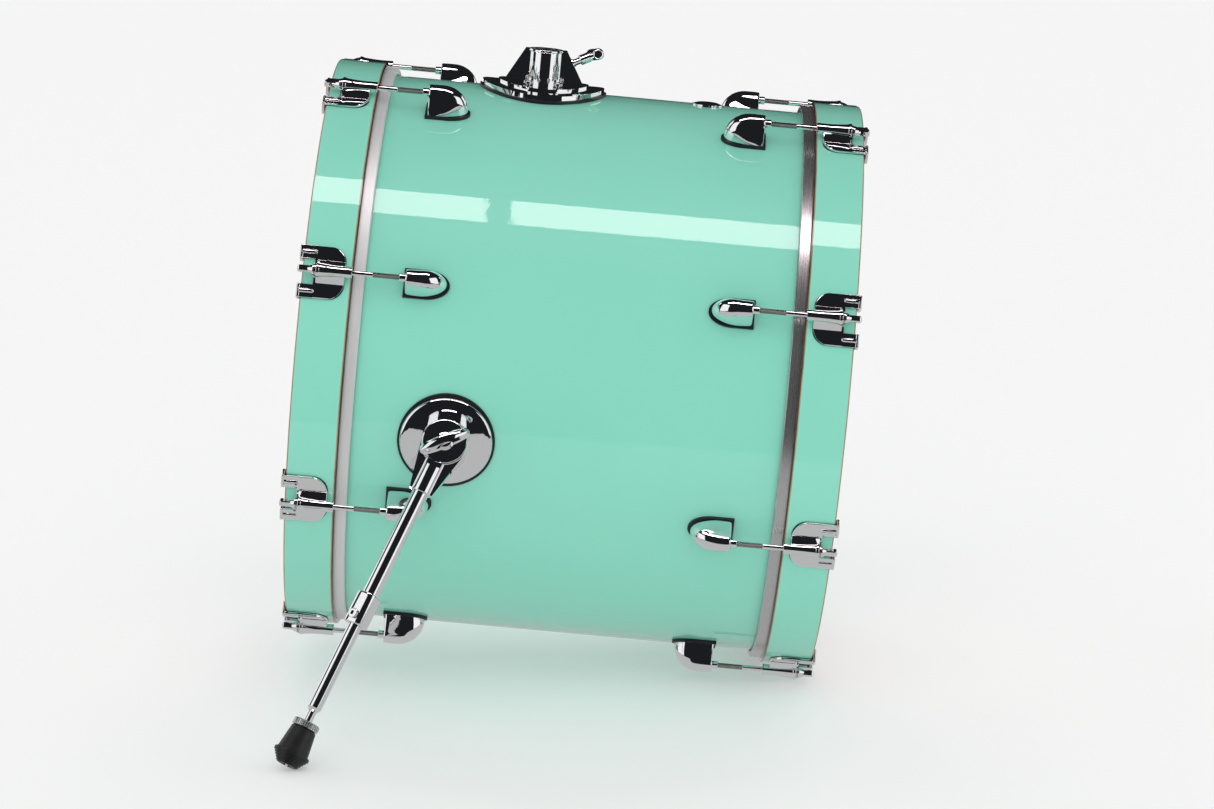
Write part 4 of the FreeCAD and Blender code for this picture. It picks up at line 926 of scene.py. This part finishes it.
def make_softboxes():
    """Two strips overhead, end to end along the drum."""
    for end in (1, -1):
        place = Vector((SOFTBOX_MIDDLE + end * (SOFTBOX_GAP + SOFTBOX_LENGTH) / 2,
                        SOFTBOX_OUT, SOFTBOX_HEIGHT))
        lamp = reflection_lamp("strip_softbox", place, (SOFTBOX_LENGTH, SOFTBOX_WIDTH),
                               SOFTBOX_RADIANCE)
        lamp.data.color = SOFTBOX_COLOUR


def make_panels():
    """Upright panels at the four corners, which face the drum."""
    for end in (1, -1):
        tall = PANEL_TALL[end]
        for side in (1, -1):
            place = Vector((end * math.sin(PANEL_TURN), side * math.cos(PANEL_TURN), 0))
            place *= PANEL_DISTANCE
            inward = -place
            place.z = tall / 2
            lamp = reflection_lamp("side_panel", place, (PANEL_WIDTH, tall), PANEL_RADIANCE)
            lamp.rotation_euler = inward.to_track_quat("-Z", "Y").to_euler()


def make_fills():
    """Wide soft suns from four sides that gloss doesn't show."""
    for azimuth, elevation, strength in FILL_SUNS:
        light = bpy.data.lights.new("fill", "SUN")
        light.energy = strength
        light.angle = FILL_WIDTH
        lamp = bpy.data.objects.new("fill", light)
        towards = direction_to(azimuth, elevation)
        lamp.rotation_euler = towards.to_track_quat("Z", "Y").to_euler()
        lamp.visible_glossy = False
        scene.collection.objects.link(lamp)


def paint(name, shade, glow):
    """Plain matt paint for the floor."""
    shader = Shader(name)
    shader.surface(Base_Color=(shade, shade, shade), Roughness=0.9, Specular_IOR_Level=0.1,
                   Emission_Color=(1.0, 1.0, 1.0), Emission_Strength=glow)
    return shader.material


def stage_plane(name, half_x, half_y, height, material):
    """A level rectangle that stages the drum and isn't part of it."""
    mesh = bpy.data.meshes.new(name)
    mesh.from_pydata([(-half_x, -half_y, height), (half_x, -half_y, height),
                      (half_x, half_y, height), (-half_x, half_y, height)], [], [(0, 1, 2, 3)])
    mesh.materials.append(material)
    plane = bpy.data.objects.new(name, mesh)
    scene.collection.objects.link(plane)
    return plane


def make_floor():
    """A wide pale floor for the eye, and a table-sized one that only reflections see."""
    floor = stage_plane("floor", FLOOR_HALF, FLOOR_HALF, 0.0,
                        paint("floor_paint", FLOOR_SHADE, FLOOR_GLOW))
    floor.visible_glossy = False
    table = stage_plane("table", TABLE_HALF_X, TABLE_HALF_Y, TABLE_LOW,
                        paint("table_paint", TABLE_SHADE, 0.0))
    table.visible_camera = False
    table.visible_diffuse = False
    table.visible_shadow = False


def make_world():
    """Pale surroundings for the eye and for matt paint, a dark room for reflections."""
    world = bpy.data.worlds.new("studio")
    scene.world = world
    world.use_nodes = True
    tree = world.node_tree
    tree.nodes.clear()
    path = tree.nodes.new("ShaderNodeLightPath")
    lit = tree.nodes.new("ShaderNodeBackground")
    lit.inputs["Color"].default_value = (1, 1, 1, 1)
    lit.inputs["Strength"].default_value = ROOM_FILL
    dark = tree.nodes.new("ShaderNodeBackground")
    dark.inputs["Color"].default_value = ROOM_REFLECTED
    mix = tree.nodes.new("ShaderNodeMixShader")
    out = tree.nodes.new("ShaderNodeOutputWorld")
    tree.links.new(path.outputs["Is Glossy Ray"], mix.inputs[0])
    tree.links.new(lit.outputs[0], mix.inputs[1])
    tree.links.new(dark.outputs[0], mix.inputs[2])
    tree.links.new(mix.outputs[0], out.inputs["Surface"])


scene.view_settings.view_transform = "Standard"
make_camera()
make_softboxes()
make_panels()
make_fills()
make_floor()
make_world()
